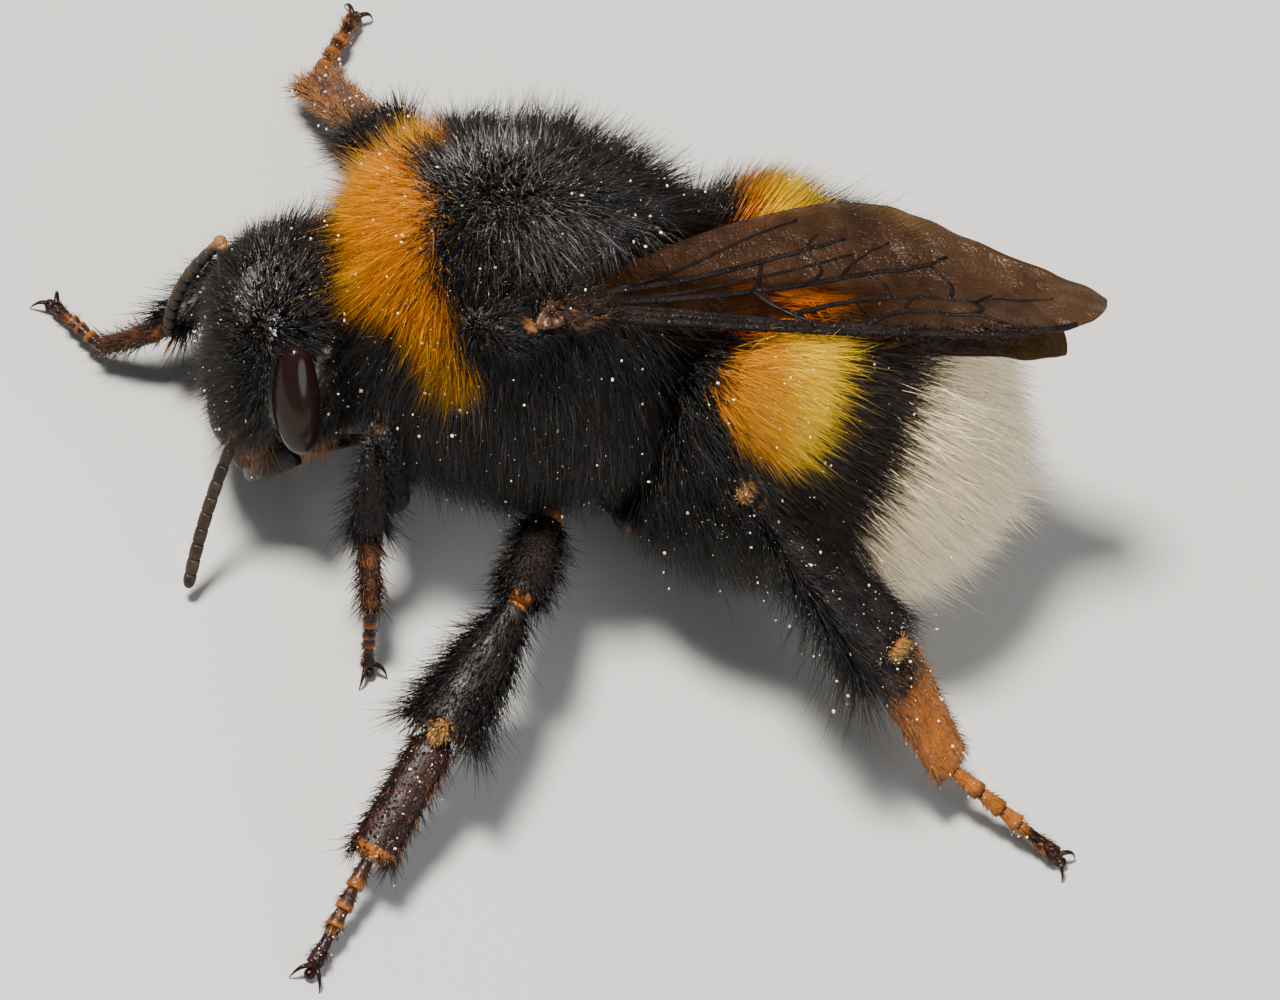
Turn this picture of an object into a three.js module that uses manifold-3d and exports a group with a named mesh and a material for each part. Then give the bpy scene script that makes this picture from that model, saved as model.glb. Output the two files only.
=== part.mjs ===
// A buff-tailed bumblebee queen, standing on all six feet, at life size.
// Millimetres. The head faces -Y, the bee's left side is +X, the floor is z = 0.
// The solids are the outline of the coat; hairs, veins and sculpture are left to the finish.
import * as THREE from 'three';
import { mergeVertices } from 'three/addons/utils/BufferGeometryUtils.js';
import Module from 'manifold-3d';

const wasm = await Module();
wasm.setup();

// driving dimensions, mm and degrees
const gap = 0.3;                     // clearance between neighbouring pieces
const plate = 0.52;                  // thickness of a wing
const stance = { x: -0.84, y: -4.3, z: 6.4, lean: 16, pitch: 2 };      // middle of the thorax

const thorax = {                     // round and blunt: exponents of the outline's oval
  width: 9.6, length: 9.7, height: 9.2, collarEnd: -2.15, back: 4.5, round: 2.15, blunt: 0.47,
};
const waist = { at: [0.05, 3.7, -0.9], length: 1.3, width: 2.4, height: 2.2 };
const abdomen = {
  start: [0.1, 3.35, -0.85], yaw: 4, droop: 6, curl: 2.8,              // curl: degrees per mm
  length: 9.6, girthAt: 3.6, width: 10.7, height: 9.0,
  front: { round: 2.3, blunt: 0.46, hidden: 1.0 },                     // hidden: length inside the waist
  tip: { round: 1.9, blunt: 0.55 },
  cuts: [1.35, 3.95, 5.75, 7.3, 8.6],                                  // segment borders along it
};
const head = {
  at: [0.1, -6.1, -1.3], pitch: 11, roll: 7,
  width: 6.1, depth: 3.9, height: 5.9, flatFace: 0.8, chin: 0.3,       // chin: how far it narrows
};
const eye = { at: [2.45, 0.6, -0.08], length: 3.25, depth: 1.4, width: 1.1, tilt: 5.5 };
const clypeus = { at: [0, -1.1, -1.8], width: 2.3, depth: 0.8, height: 1.5 };
const labrum = { at: [0, -0.8, -3.0], width: 1.3, depth: 0.55, height: 0.7 };
const mandible = { root: [1.75, 0.35, -2.2], tip: [0.6, -0.15, -3.5], radius: 0.45, taper: 0.7, flat: 0.75 };
const proboscis = { root: [0, 0.55, -3.0], tip: [0, 2.3, -3.05], radius: 0.42, taper: 0.8, flat: 0.8 };
const antenna = {
  radius: 0.26, socket: [0.5, -1.15, 0.45],
  left: { elbow: [1.8, -0.87, -1.17], tip: [2.24, -2.4, -5.4], bulge: [0.1, -0.25, 0] },
  right: { elbow: [-1.25, -0.8, 2.25], tip: [-2.75, -2.2, -1.35], bulge: [-0.3, -0.6, 0] },
};
const tegula = { at: [3.6, -1.05, 2.6], length: 1.7, width: 1.15, height: 0.8 };

const foreWing = { length: 14.2, width: 4.6 };
const hindWing = { length: 8.6, width: 2.0 };
const blade = {                      // outline from the hinge, round the tip and back to the hinge
  hinge: 0.35,
  leading: [[0.5, 0.25], [0.45, 0.6], [0.2, 0.8]],                     // mm outwards, share of length
  apex: [[0, 0.95], [0.15, 1], [0.3, 1]],                              // shares of width and length
  trailing: [[0.6, 0.98], [0.85, 0.85], [0.92, 0.7]],
  lobe: [[1.05, 0.55], [0.5, 0.2]],
};
const folds = {                      // hinge, then inward sweep, rise of the tip and roof slope
  forewing_left: { at: [3.45, 0.1, 3.0], sweep: 3, rise: -2, roof: 7 },
  forewing_right: { at: [-3.3, 0.1, 2.05], sweep: 15.5, rise: -2, roof: 2 },
  hindwing_left: { at: [3.3, 0.9, 2.15], sweep: 1, rise: -2, roof: 4 },
  hindwing_right: { at: [-3.4, 0.9, 1.35], sweep: 3, rise: -2, roof: 3 },
};

const legLengths = {                 // hip, femur, tibia, basitarsus, tarsus
  front: [1.9, 3.0, 3.27, 1.87, 1.8],
  mid: [1.9, 3.6, 3.75, 3.5, 2.88],
  hind: [1.9, 4.4, 5.2, 3.75, 3.4],
};
const legGirths = {                  // half widths at both ends of each part, and its flatness
  front: [[0.6, 0.42, 1], [0.4, 0.55, 1], [0.42, 0.66, 0.85], [0.42, 0.36, 0.8], [0.27, 0.27, 1]],
  mid: [[0.65, 0.45, 1], [0.55, 0.78, 0.85], [0.5, 0.9, 0.75], [0.56, 0.64, 0.6], [0.3, 0.28, 1]],
  hind: [[0.7, 0.5, 1], [0.65, 0.85, 0.75], [0.55, 1.15, 0.42], [0.88, 0.66, 0.42], [0.33, 0.3, 1]],
};
// where each hip leaves the thorax, then the heading and rise of each part, in degrees;
// heading 0 is straight ahead and 90 is to the bee's left, and the tarsus finds its own rise
const legs = {
  front_left: { hip: [1.3, -2.7, -3.0], turns: [[89, -11], [-27, 70], [106, -70], [99, -36], [119]] },
  front_right: { hip: [-1.3, -2.7, -3.0], turns: [[-53, -21], [-41, 20], [44, -25], [-8, -42], [-52]] },
  mid_left: { hip: [1.7, -0.4, -3.3], turns: [[142, -6], [72, 16], [60, -23], [61, -27], [64]] },
  mid_right: { hip: [-1.7, -0.4, -3.3], turns: [[-112, -26], [-52, 43], [-63, -21], [-70, -36], [-115]] },
  hind_left: { hip: [1.7, 2.2, -3.0], turns: [[127, -20], [150, 55], [149, -33], [145, -45], [152]] },
  hind_right: { hip: [-1.7, 2.2, -3.0], turns: [[-133, -32], [-137, 29], [140, -30], [-150, -12], [-120]] },
};
const limbEnd = { reach: 0.45, blunt: 0.45 };                           // rounding of a limb part's ends
const swell = { usual: 0.08, tibia: 0.12 };
const jointTrim = gap * 0.75;        // taken off a limb part at both ends
const jointGap = gap * 0.8;          // kept where a bent joint would still touch
const footHeight = 0.34;             // the middle of the last joint above the floor
const claws = { radius: 0.27, length: 1.05, stoop: 128, splay: 24, drop: 0.1, setBack: 0.3, sides: 6 };
const floorBlock = { side: 80, depth: 10 };
const headroom = 3;                  // coat taken away over a folded wing

const detail = {                     // facets round and along the bodies
  trunk: 15, collar: 4, thorax: 6, segment: 2, head: [12, 9], eye: [10, 8], waist: [10, 6], lash: 7,
};

// colours
const finish = (color, roughness) => new THREE.MeshStandardMaterial({ color, roughness, metalness: 0 });
const blackCoat = finish(0x141210, 0.75);
const orangeCoat = finish(0xdf7f14, 0.8);
const yellowCoat = finish(0xf0b21c, 0.8);
const whiteCoat = finish(0xeadfc8, 0.85);
const shell = finish(0x17120f, 0.35);
const brownShell = finish(0x6e3a1c, 0.4);
const eyeShell = finish(0x1b1013, 0.15);
const membrane = finish(0x4a2f1f, 0.3);

// frames
const radians = THREE.MathUtils.degToRad;
const vector = (a) => new THREE.Vector3(...a);
const sides = [['left', 1], ['right', -1]];
const bee = new THREE.Group();
const trunk = new THREE.Group();
trunk.position.set(stance.x, stance.y, stance.z);
trunk.rotation.set(radians(stance.pitch), -radians(stance.lean), 0, 'YXZ');
bee.add(trunk);

const place = (group, name, geometry, material) => {
  const mesh = new THREE.Mesh(geometry, material);
  mesh.name = name;
  group.add(mesh);
  return mesh;
};

// booleans between placed meshes
const closed = (geometry) => {
  const bare = geometry.index ? geometry.toNonIndexed() : geometry.clone();
  bare.deleteAttribute('normal');
  bare.deleteAttribute('uv');
  return mergeVertices(bare, 1e-4);
};

const solidOf = (mesh, grow = 0) => {
  mesh.updateWorldMatrix(true, false);
  const geometry = closed(mesh.geometry);
  geometry.applyMatrix4(mesh.matrixWorld);
  if (grow > 0) {
    geometry.computeVertexNormals();
    const { position, normal } = geometry.attributes;
    const p = new THREE.Vector3();
    const n = new THREE.Vector3();
    for (let i = 0; i < position.count; i += 1) {
      p.fromBufferAttribute(position, i).addScaledVector(n.fromBufferAttribute(normal, i), grow);
      position.setXYZ(i, p.x, p.y, p.z);
    }
  }
  return new wasm.Manifold(new wasm.Mesh({
    numProp: 3,
    vertProperties: Float32Array.from(geometry.attributes.position.array),
    triVerts: Uint32Array.from(geometry.index.array),
  }));
};

const keepSolid = (mesh, solid) => {
  const body = solid.decompose().sort((a, b) => b.volume() - a.volume())[0].getMesh();
  const geometry = new THREE.BufferGeometry();
  geometry.setAttribute('position', new THREE.BufferAttribute(Float32Array.from(body.vertProperties), 3));
  geometry.setIndex(Array.from(body.triVerts));
  geometry.applyMatrix4(mesh.matrixWorld.clone().invert());
  mesh.geometry = geometry;
};

const carve = (mesh, cutters, grow = gap) => {
  let solid = solidOf(mesh);
  const before = solid.volume();
  for (const cutter of cutters) solid = solid.subtract(solidOf(cutter, grow));
  if (before - solid.volume() > 1e-4) keepSolid(mesh, solid);
};

// basic shapes
// a closed body turned round Y, from y0 to y1, with the radius given along it
const turned = (y0, y1, radiusAt, steps, around) => {
  const profile = [new THREE.Vector2(0, y0)];
  for (let i = 0; i <= steps; i += 1) {
    const y = y0 + (y1 - y0) * (0.5 - 0.5 * Math.cos((Math.PI * i) / steps));
    const r = radiusAt(y);
    if (r > 1e-3) profile.push(new THREE.Vector2(r, y));
  }
  profile.push(new THREE.Vector2(0, y1));
  return new THREE.LatheGeometry(profile, around);
};

const bent = (geometry, move) => {
  const { position } = geometry.attributes;
  const p = new THREE.Vector3();
  for (let i = 0; i < position.count; i += 1) {
    move(p.fromBufferAttribute(position, i));
    position.setXYZ(i, p.x, p.y, p.z);
  }
  return geometry;
};

const ovoid = (length, width, height, around = 8, rings = 6) => (
  new THREE.SphereGeometry(0.5, around, rings).scale(width, length, height));

// a limb part along +Y that rounds off at both ends
const limbShape = (length, [r0, r1, flat], bulge = swell.usual, steps = 3) => {
  const reach = limbEnd.reach * Math.min(r0, r1);
  const radiusAt = (y) => {
    const t = y / length;
    const cap = Math.min(1, Math.sqrt(Math.max(0, Math.min(y, length - y)) / reach));
    const end = limbEnd.blunt + (1 - limbEnd.blunt) * cap;
    return (r0 + (r1 - r0) * t) * (1 + bulge * Math.sin(Math.PI * t)) * end;
  };
  return turned(0, length, radiusAt, steps, 8).scale(1, 1, flat);
};

// stands a part with +Y from one point towards another, its broad side across `across`
const aim = (mesh, from, to, across) => {
  const y = to.clone().sub(from).normalize();
  const z = y.clone().cross(across).cross(y).negate().normalize();
  const x = y.clone().cross(z);
  mesh.quaternion.setFromRotationMatrix(new THREE.Matrix4().makeBasis(x, y, z));
  mesh.position.copy(from);
};

// thorax
const thoraxRadius = (y) => {
  const along = Math.abs(y) / (thorax.length / 2);
  return Math.pow(Math.max(0, 1 - Math.pow(along, thorax.round)), thorax.blunt);
};
const thoraxSlice = (y0, y1, steps) => (
  turned(y0, y1, thoraxRadius, steps, detail.trunk).scale(thorax.width / 2, 1, thorax.height / 2));
const collarMesh = place(trunk, 'collar',
  thoraxSlice(-thorax.length / 2, thorax.collarEnd - gap / 2, detail.collar), orangeCoat);
const thoraxMesh = place(trunk, 'thorax',
  thoraxSlice(thorax.collarEnd + gap / 2, thorax.back, detail.thorax), blackCoat);

// abdomen: one curled body in six segments
const tail = new THREE.Group();
tail.position.set(...abdomen.start);
tail.rotation.set(-radians(abdomen.droop), 0, -radians(abdomen.yaw), 'ZXY');
trunk.add(tail);

const abdomenRadius = (s) => {
  const { girthAt, length, front, tip } = abdomen;
  const end = s < girthAt ? front : tip;
  const reach = s < girthAt ? girthAt + front.hidden : length - girthAt;
  return Math.pow(Math.max(0, 1 - Math.pow(Math.abs(s - girthAt) / reach, end.round)), end.blunt);
};
const curl = (p) => {
  const turn = radians(abdomen.curl) * Math.max(0, p.y);
  const reach = 1 / radians(abdomen.curl);
  const base = Math.min(0, p.y);
  p.set(p.x, base + (reach + p.z) * Math.sin(turn), (reach + p.z) * Math.cos(turn) - reach);
};
const borders = [0, ...abdomen.cuts, abdomen.length];
const coats = [blackCoat, yellowCoat, blackCoat, whiteCoat, whiteCoat, whiteCoat];
const segments = coats.map((coat, i) => {
  const y0 = borders[i] + (i === 0 ? 0 : gap / 2);
  const y1 = borders[i + 1] - (i === coats.length - 1 ? 0 : gap / 2);
  const slice = turned(y0, y1, abdomenRadius, detail.segment, detail.trunk);
  slice.scale(abdomen.width / 2, 1, abdomen.height / 2);
  return place(tail, `abdomen_${i + 1}`, bent(slice, curl), coat);
});
const waistMesh = place(trunk, 'waist',
  ovoid(waist.length, waist.width, waist.height, ...detail.waist).translate(...waist.at), shell);

// head
const skull = new THREE.Group();
skull.position.set(...head.at);
skull.rotation.set(radians(head.pitch), -radians(head.roll), 0, 'YXZ');
trunk.add(skull);

const headShape = bent(new THREE.SphereGeometry(1, ...detail.head), (p) => {
  const down = Math.max(0, -p.z);
  const narrow = 1 - head.chin * down * down;
  const depth = head.depth * (p.y < 0 ? head.flatFace : 1);
  p.set(p.x * narrow * head.width / 2, p.y * depth / 2, p.z * head.height / 2);
});
const headMesh = place(skull, 'head', headShape, blackCoat);

const face = (name, size, material) => (
  place(skull, name, ovoid(size.depth, size.width, size.height).translate(...size.at), material));
const clypeusMesh = face('clypeus', clypeus, shell);
const labrumMesh = face('labrum', labrum, brownShell);

const tapered = ({ radius, taper, flat }) => [radius, radius * taper, flat];
const eyes = [];
const mandibles = [];
for (const [side, hand] of sides) {
  const eyeball = place(skull, `eye_${side}`,
    ovoid(eye.depth, eye.width, eye.length, ...detail.eye), eyeShell);
  eyeball.position.set(hand * eye.at[0], eye.at[1], eye.at[2]);
  eyeball.rotation.y = -hand * radians(eye.tilt);
  eyes.push(eyeball);

  const root = vector(mandible.root).multiply(vector([hand, 1, 1]));
  const tip = vector(mandible.tip).multiply(vector([hand, 1, 1]));
  const jaw = place(skull, `mandible_${side}`,
    limbShape(root.distanceTo(tip), tapered(mandible)), brownShell);
  aim(jaw, root, tip, vector([1, 0, 0]));
  mandibles.push(jaw);
}
const tongueRoot = vector(proboscis.root);
const tongueTip = vector(proboscis.tip);
const tongue = place(skull, 'proboscis',
  limbShape(tongueRoot.distanceTo(tongueTip), tapered(proboscis)), brownShell);
aim(tongue, tongueRoot, tongueTip, vector([1, 0, 0]));

// antennae: a straight scape, an elbow and a gently curved flagellum
const scapes = [];
const lashes = [];
for (const [side, hand] of sides) {
  const socket = vector(antenna.socket).multiply(vector([hand, 1, 1]));
  const elbow = vector(antenna[side].elbow);
  const tip = vector(antenna[side].tip);
  const scape = place(skull, `scape_${side}`,
    limbShape(socket.distanceTo(elbow), [antenna.radius, antenna.radius, 1], 0, 4), shell);
  aim(scape, socket, elbow, vector([1, 0, 0]));
  scapes.push(scape);
  const from = elbow.clone().addScaledVector(tip.clone().sub(elbow).normalize(), antenna.radius + gap);
  const bulge = vector(antenna[side].bulge);
  const circle = new THREE.Shape().absarc(0, 0, antenna.radius, 0, 2 * Math.PI);
  const lash = new THREE.ExtrudeGeometry(circle, {
    steps: detail.lash, curveSegments: 4, bevelEnabled: false,
    extrudePath: new THREE.QuadraticBezierCurve3(from, from.clone().lerp(tip, 0.5).add(bulge), tip),
  });
  lashes.push(place(skull, `flagellum_${side}`, lash, shell));
}

// wings: flat blades folded back over the abdomen
// outlines point along +Y from the hinge, the leading edge on the +X side
const bladeOutline = ({ length, width }) => {
  const outline = new THREE.Shape();
  const curve = (points, across) => {
    outline.bezierCurveTo(...points.flatMap(([x, y]) => [x * across, y * length]));
  };
  outline.moveTo(blade.hinge, 0);
  curve(blade.leading, 1);
  curve(blade.apex, -width);
  curve(blade.trailing, -width);
  curve([...blade.lobe, [blade.hinge / width, 0]], -width);
  outline.closePath();
  return outline;
};
const wings = Object.entries(folds).map(([name, { at, sweep, rise, roof }]) => {
  const hand = name.endsWith('left') ? 1 : -1;
  const size = name.startsWith('fore') ? foreWing : hindWing;
  let geometry = new THREE.ExtrudeGeometry(bladeOutline(size), {
    depth: plate, bevelEnabled: false, curveSegments: 4,
  }).translate(0, 0, -plate / 2);
  if (hand < 0) {
    geometry = closed(geometry.scale(-1, 1, 1));
    geometry.setIndex(Array.from(geometry.index.array).reverse());
  }
  const wing = place(trunk, name, geometry, membrane);
  wing.position.set(...at);
  wing.rotation.set(radians(rise), hand * radians(roof), hand * radians(sweep), 'ZXY');
  return wing;
});
// the coat gives way to a folded wing and to everything above it
const wingSpace = (wing) => {
  const space = wing.clone();
  space.geometry = wing.geometry.clone().translate(0, 0, plate / 2)
    .scale(1, 1, headroom / plate).translate(0, 0, -plate / 2);
  space.applyMatrix4(trunk.matrixWorld);
  return space;
};

const tegulae = sides.map(([side, hand]) => place(trunk, `tegula_${side}`,
  ovoid(tegula.length, tegula.width, tegula.height)
    .translate(hand * tegula.at[0], tegula.at[1], tegula.at[2]), brownShell));

// legs
const up = new THREE.Vector3(0, 0, 1);
const heading = (turn, rise) => new THREE.Vector3(
  Math.sin(radians(turn)) * Math.cos(radians(rise)),
  -Math.cos(radians(turn)) * Math.cos(radians(rise)),
  Math.sin(radians(rise)),
);
const partNames = ['hip', 'femur', 'tibia', 'basitarsus', 'tarsus'];
const looks = [shell, shell, shell, brownShell, brownShell];
const buildLeg = (name, hip, turns) => {
  const pair = name.split('_')[0];
  let from = trunk.localToWorld(vector(hip));
  const parts = turns.map(([turn, rise], i) => {
    const reach = legLengths[pair][i];
    const tilt = rise ?? THREE.MathUtils.radToDeg(Math.asin((footHeight - from.z) / reach));
    const along = heading(turn, tilt);
    const bulge = partNames[i] === 'tibia' ? swell.tibia : swell.usual;
    const mesh = place(bee, `${partNames[i]}_${name}`,
      limbShape(reach - 2 * jointTrim, legGirths[pair][i], bulge), looks[i]);
    const to = from.clone().addScaledVector(along, reach);
    aim(mesh, from.clone().addScaledVector(along, jointTrim), to, up.clone().cross(heading(turn, 0)));
    from = to;
    return mesh;
  });
  const [lastTurn] = turns[turns.length - 1];
  const end = from.clone().addScaledVector(heading(lastTurn, 0), -claws.length * claws.setBack);
  return { parts, end, turn: radians(lastTurn) + Math.PI };
};
bee.updateWorldMatrix(true, true);
const builtLegs = Object.entries(legs).map(([name, { hip, turns }]) => buildLeg(name, hip, turns));

// the last joint ends in a pair of claws, trimmed flat where they stand on the floor
const clawShape = (hand) => {
  const claw = new THREE.ConeGeometry(claws.radius, claws.length, claws.sides, 1);
  claw.rotateX(radians(-claws.stoop));
  return claw.translate(0, 0, -claws.drop).rotateZ(hand * radians(claws.splay));
};
const { side: breadth, depth } = floorBlock;
const underFloor = solidOf(new THREE.Mesh(
  new THREE.BoxGeometry(breadth, breadth, depth).translate(0, 0, -depth / 2)));
for (const { parts, end, turn } of builtLegs) {
  const tarsus = parts[parts.length - 1];
  let solid = solidOf(tarsus);
  for (const [, hand] of sides) {
    const claw = new THREE.Mesh(clawShape(hand));
    claw.position.copy(end);
    claw.rotation.z = turn;
    solid = solid.add(solidOf(claw));
  }
  keepSolid(tarsus, solid.subtract(underFloor));
}

// clearances between the coat and what grows out of it
const limbs = builtLegs.flatMap(({ parts }) => parts);
for (const { parts } of builtLegs) {
  parts.slice(1).forEach((mesh, i) => carve(mesh, [parts[i]], jointGap));
}
carve(headMesh, [...eyes, clypeusMesh, labrumMesh, ...mandibles, tongue, ...scapes, lashes[1]]);
carve(collarMesh, [headMesh]);
carve(thoraxMesh, [waistMesh, segments[0], segments[1], ...tegulae]);
carve(segments[0], [waistMesh]);
const [, foreWingRight, hindWingLeft, hindWingRight] = wings;
carve(hindWingLeft, [foreWingRight, thoraxMesh]);
carve(hindWingRight, [thoraxMesh]);
const wingSpaces = wings.map(wingSpace);
for (const mesh of [thoraxMesh, ...segments]) carve(mesh, [...wingSpaces, ...limbs]);
for (const mesh of [headMesh, collarMesh]) carve(mesh, limbs);

// stand the whole animal on the middle of its own footprint
const box = new THREE.Box3().setFromObject(bee, true);
const middle = box.getCenter(new THREE.Vector3());
bee.position.set(-middle.x, -middle.y, -box.min.z);

export default bee;
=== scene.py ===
import math

import bmesh
import bpy
import numpy as np
from mathutils import Matrix, Vector
from mathutils.geometry import interpolate_bezier


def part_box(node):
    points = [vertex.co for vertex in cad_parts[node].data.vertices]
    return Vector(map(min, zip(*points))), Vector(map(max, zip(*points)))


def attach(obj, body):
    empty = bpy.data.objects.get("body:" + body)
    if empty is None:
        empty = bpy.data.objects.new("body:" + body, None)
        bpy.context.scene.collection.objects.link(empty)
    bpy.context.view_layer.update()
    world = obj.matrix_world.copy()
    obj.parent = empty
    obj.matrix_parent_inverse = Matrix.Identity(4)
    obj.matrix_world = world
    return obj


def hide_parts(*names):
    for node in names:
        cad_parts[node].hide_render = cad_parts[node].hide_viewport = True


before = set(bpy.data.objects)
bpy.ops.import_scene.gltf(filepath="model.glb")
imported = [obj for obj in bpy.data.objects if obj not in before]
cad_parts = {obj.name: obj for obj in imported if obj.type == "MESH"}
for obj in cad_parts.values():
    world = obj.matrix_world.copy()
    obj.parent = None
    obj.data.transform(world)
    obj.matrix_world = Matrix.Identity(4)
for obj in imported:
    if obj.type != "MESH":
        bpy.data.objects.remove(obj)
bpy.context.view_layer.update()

# A buff-tailed bumblebee queen. Shapes are worked out in millimetres in the bee's own frames,
# head towards -Y and her left side +X, and every finished piece is in metres at the origin.

mm = 0.001


def turn(axis, degrees):
    return Matrix.Rotation(math.radians(degrees), 4, axis)


def shiftBy(place):
    return Matrix.Translation(Vector(place))


# frames of the body, the abdomen and the head
stance = {"lean": 16, "pitch": 2}
skull = {"at": (0.1, -6.1, -1.3), "pitch": 11, "roll": 7}
tail = {"at": (0.1, 3.35, -0.85), "yaw": 4, "droop": 6, "curl": math.radians(2.8)}
eye = {"at": (2.45, 0.6, -0.08), "length": 3.25, "depth": 1.4, "width": 1.1, "tilt": 5.5}

leanTurn = turn("Y", -stance["lean"]) @ turn("X", stance["pitch"])
skullInBody = shiftBy(skull["at"]) @ turn("Y", -skull["roll"]) @ turn("X", skull["pitch"])
tailInBody = shiftBy(tail["at"]) @ turn("Z", -tail["yaw"]) @ turn("X", -tail["droop"])
# the left eye says where the whole body stands
eyeLow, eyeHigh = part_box("eye_left")
eyeMiddle = (eyeLow + eyeHigh) / (2 * mm)
bodyPlace = shiftBy(eyeMiddle - leanTurn @ skullInBody @ Vector(eye["at"])) @ leanTurn
skullPlace = bodyPlace @ skullInBody
tailPlace = bodyPlace @ tailInBody


def moved(points, place):
    rows = np.array(place)
    return points @ rows[:3, :3].T + rows[:3, 3]


def unit(vectors):
    return vectors / np.maximum(np.linalg.norm(vectors, axis=-1, keepdims=True), 1e-9)


def smooth(low, high, x):
    t = np.clip((x - low) / (high - low), 0, 1)
    return t * t * (3 - 2 * t)


def addPiece(name, mesh, material, replaces=()):
    piece = bpy.data.objects.new(name, mesh)
    bpy.context.scene.collection.objects.link(piece)
    mesh.materials.clear()
    mesh.materials.append(material)
    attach(piece, "root")
    if replaces:
        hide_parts(*replaces)
    return piece


def meshFromBmesh(name, bm, place=None):
    # place is a frame in millimetres
    if place is not None:
        bmesh.ops.transform(bm, matrix=place, verts=bm.verts)
    bmesh.ops.scale(bm, vec=(mm, mm, mm), verts=bm.verts)
    bmesh.ops.recalc_face_normals(bm, faces=bm.faces)
    for face in bm.faces:
        face.smooth = True
    mesh = bpy.data.meshes.new(name)
    bm.to_mesh(mesh)
    bm.free()
    return mesh


def meshFromArrays(name, verts, triangles, uv=None, values=None):
    mesh = bpy.data.meshes.new(name)
    count = len(triangles)
    mesh.vertices.add(len(verts))
    mesh.vertices.foreach_set("co", (verts * mm).astype(np.float32).ravel())
    mesh.loops.add(count * 3)
    mesh.loops.foreach_set("vertex_index", triangles.astype(np.int32).ravel())
    mesh.polygons.add(count)
    mesh.polygons.foreach_set("loop_start", np.arange(0, count * 3, 3, dtype=np.int32))
    mesh.polygons.foreach_set("use_smooth", np.ones(count, dtype=bool))
    mesh.update(calc_edges=True)
    if uv is not None:
        layer = mesh.uv_layers.new(name="OFBake")
        layer.data.foreach_set("uv", uv[triangles.ravel()].astype(np.float32).ravel())
    for key, value in (values or {}).items():
        mesh.attributes.new(key, "FLOAT", "POINT").data.foreach_set("value", value.astype(np.float32))
    return mesh


def pointValue(mesh, name, values):
    layer = mesh.attributes.new(name, "FLOAT", "POINT")
    layer.data.foreach_set("value", np.asarray(values, dtype=np.float32))


# a shell piece from a bmesh; amber says where it is pale, from 0 to 1, all over or point by point
def addShell(name, bm, place, amber, material, nodes):
    mesh = meshFromBmesh(name, bm, place)
    pointValue(mesh, "amber", amber if isinstance(amber, list) else [amber] * len(mesh.vertices))
    addPiece(name, mesh, material, nodes)


def coordinates(mesh):
    co = np.zeros(len(mesh.vertices) * 3, dtype=np.float32)
    mesh.vertices.foreach_get("co", co)
    return co.reshape(-1, 3).astype(float) / mm


# a body swept through stations: each has a middle, two half widths and the way its broad side lies
def sweep(bm, path, broad, thin, across, sides=12):
    path = [Vector(p) for p in path]
    frames = []
    for i, p in enumerate(path):
        along = (path[min(i + 1, len(path) - 1)] - path[max(i - 1, 0)]).normalized()
        x = (Vector(across) - along * along.dot(Vector(across))).normalized()
        y = along.cross(x)
        basis = Matrix((x, y, along)).transposed().to_4x4()
        frames.append(shiftBy(p) @ basis @ Matrix.Diagonal((broad[i], thin[i], 1, 1)))
    ring = bmesh.ops.create_circle(bm, cap_ends=True, segments=sides, radius=1, matrix=frames[0])["verts"]
    edges = list(dict.fromkeys(e for v in ring for e in v.link_edges))
    for before, after in zip(frames, frames[1:]):
        made = bmesh.ops.extrude_edge_only(bm, edges=edges)["geom"]
        ring = [g for g in made if isinstance(g, bmesh.types.BMVert)]
        edges = [g for g in made if isinstance(g, bmesh.types.BMEdge)]
        bmesh.ops.transform(bm, matrix=after @ before.inverted(), verts=ring)
    bmesh.ops.contextual_create(bm, geom=edges)


def bezier(a, b, c, d, steps):
    return interpolate_bezier(Vector(a), Vector(b), Vector(c), Vector(d), steps)


# the outline of the coat, and the skin that lies inside it
thorax = {"width": 9.6, "length": 9.7, "height": 9.2, "skinDepth": 1.15}
abdomen = {"length": 9.6, "girthAt": 3.6, "width": 10.7, "height": 9.0, "tipRound": 1.9, "skinDepth": 0.95}
head = {"halfWidth": 2.58, "halfHeight": 2.33, "front": 0.94, "back": 2.3}


def thoraxPoint(y, angle, depth):
    half = thorax["length"] / 2 - depth * 0.8
    r = np.maximum(0, 1 - (np.abs(y) / half) ** 2.15) ** 0.47
    return np.stack([(thorax["width"] / 2 - depth) * r * np.cos(angle), y,
                     (thorax["height"] / 2 - depth) * r * np.sin(angle)], -1)


def abdomenPoint(s, angle, depth):
    # s runs from the waist to the tip, and the whole body curls down as it goes
    girth = abdomen["girthAt"]
    length = abdomen["length"] - depth
    front = (1 - (np.clip(girth - s, 0, None) / (girth + 1)) ** 2.3) ** 0.46
    back = np.maximum(0, 1 - (np.clip(s - girth, 0, None) / (length - girth)) ** abdomen["tipRound"]) ** 0.55
    r = np.where(s < girth, front, back)
    x = (abdomen["width"] / 2 - depth) * r * np.cos(angle)
    z = (abdomen["height"] / 2 - depth) * r * np.sin(angle)
    reach = 1 / tail["curl"]
    bend = tail["curl"] * np.maximum(0, s)
    y = np.minimum(0, s) + (reach + z) * np.sin(bend)
    return np.stack([x, y, (reach + z) * np.cos(bend) - reach], -1)


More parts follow.
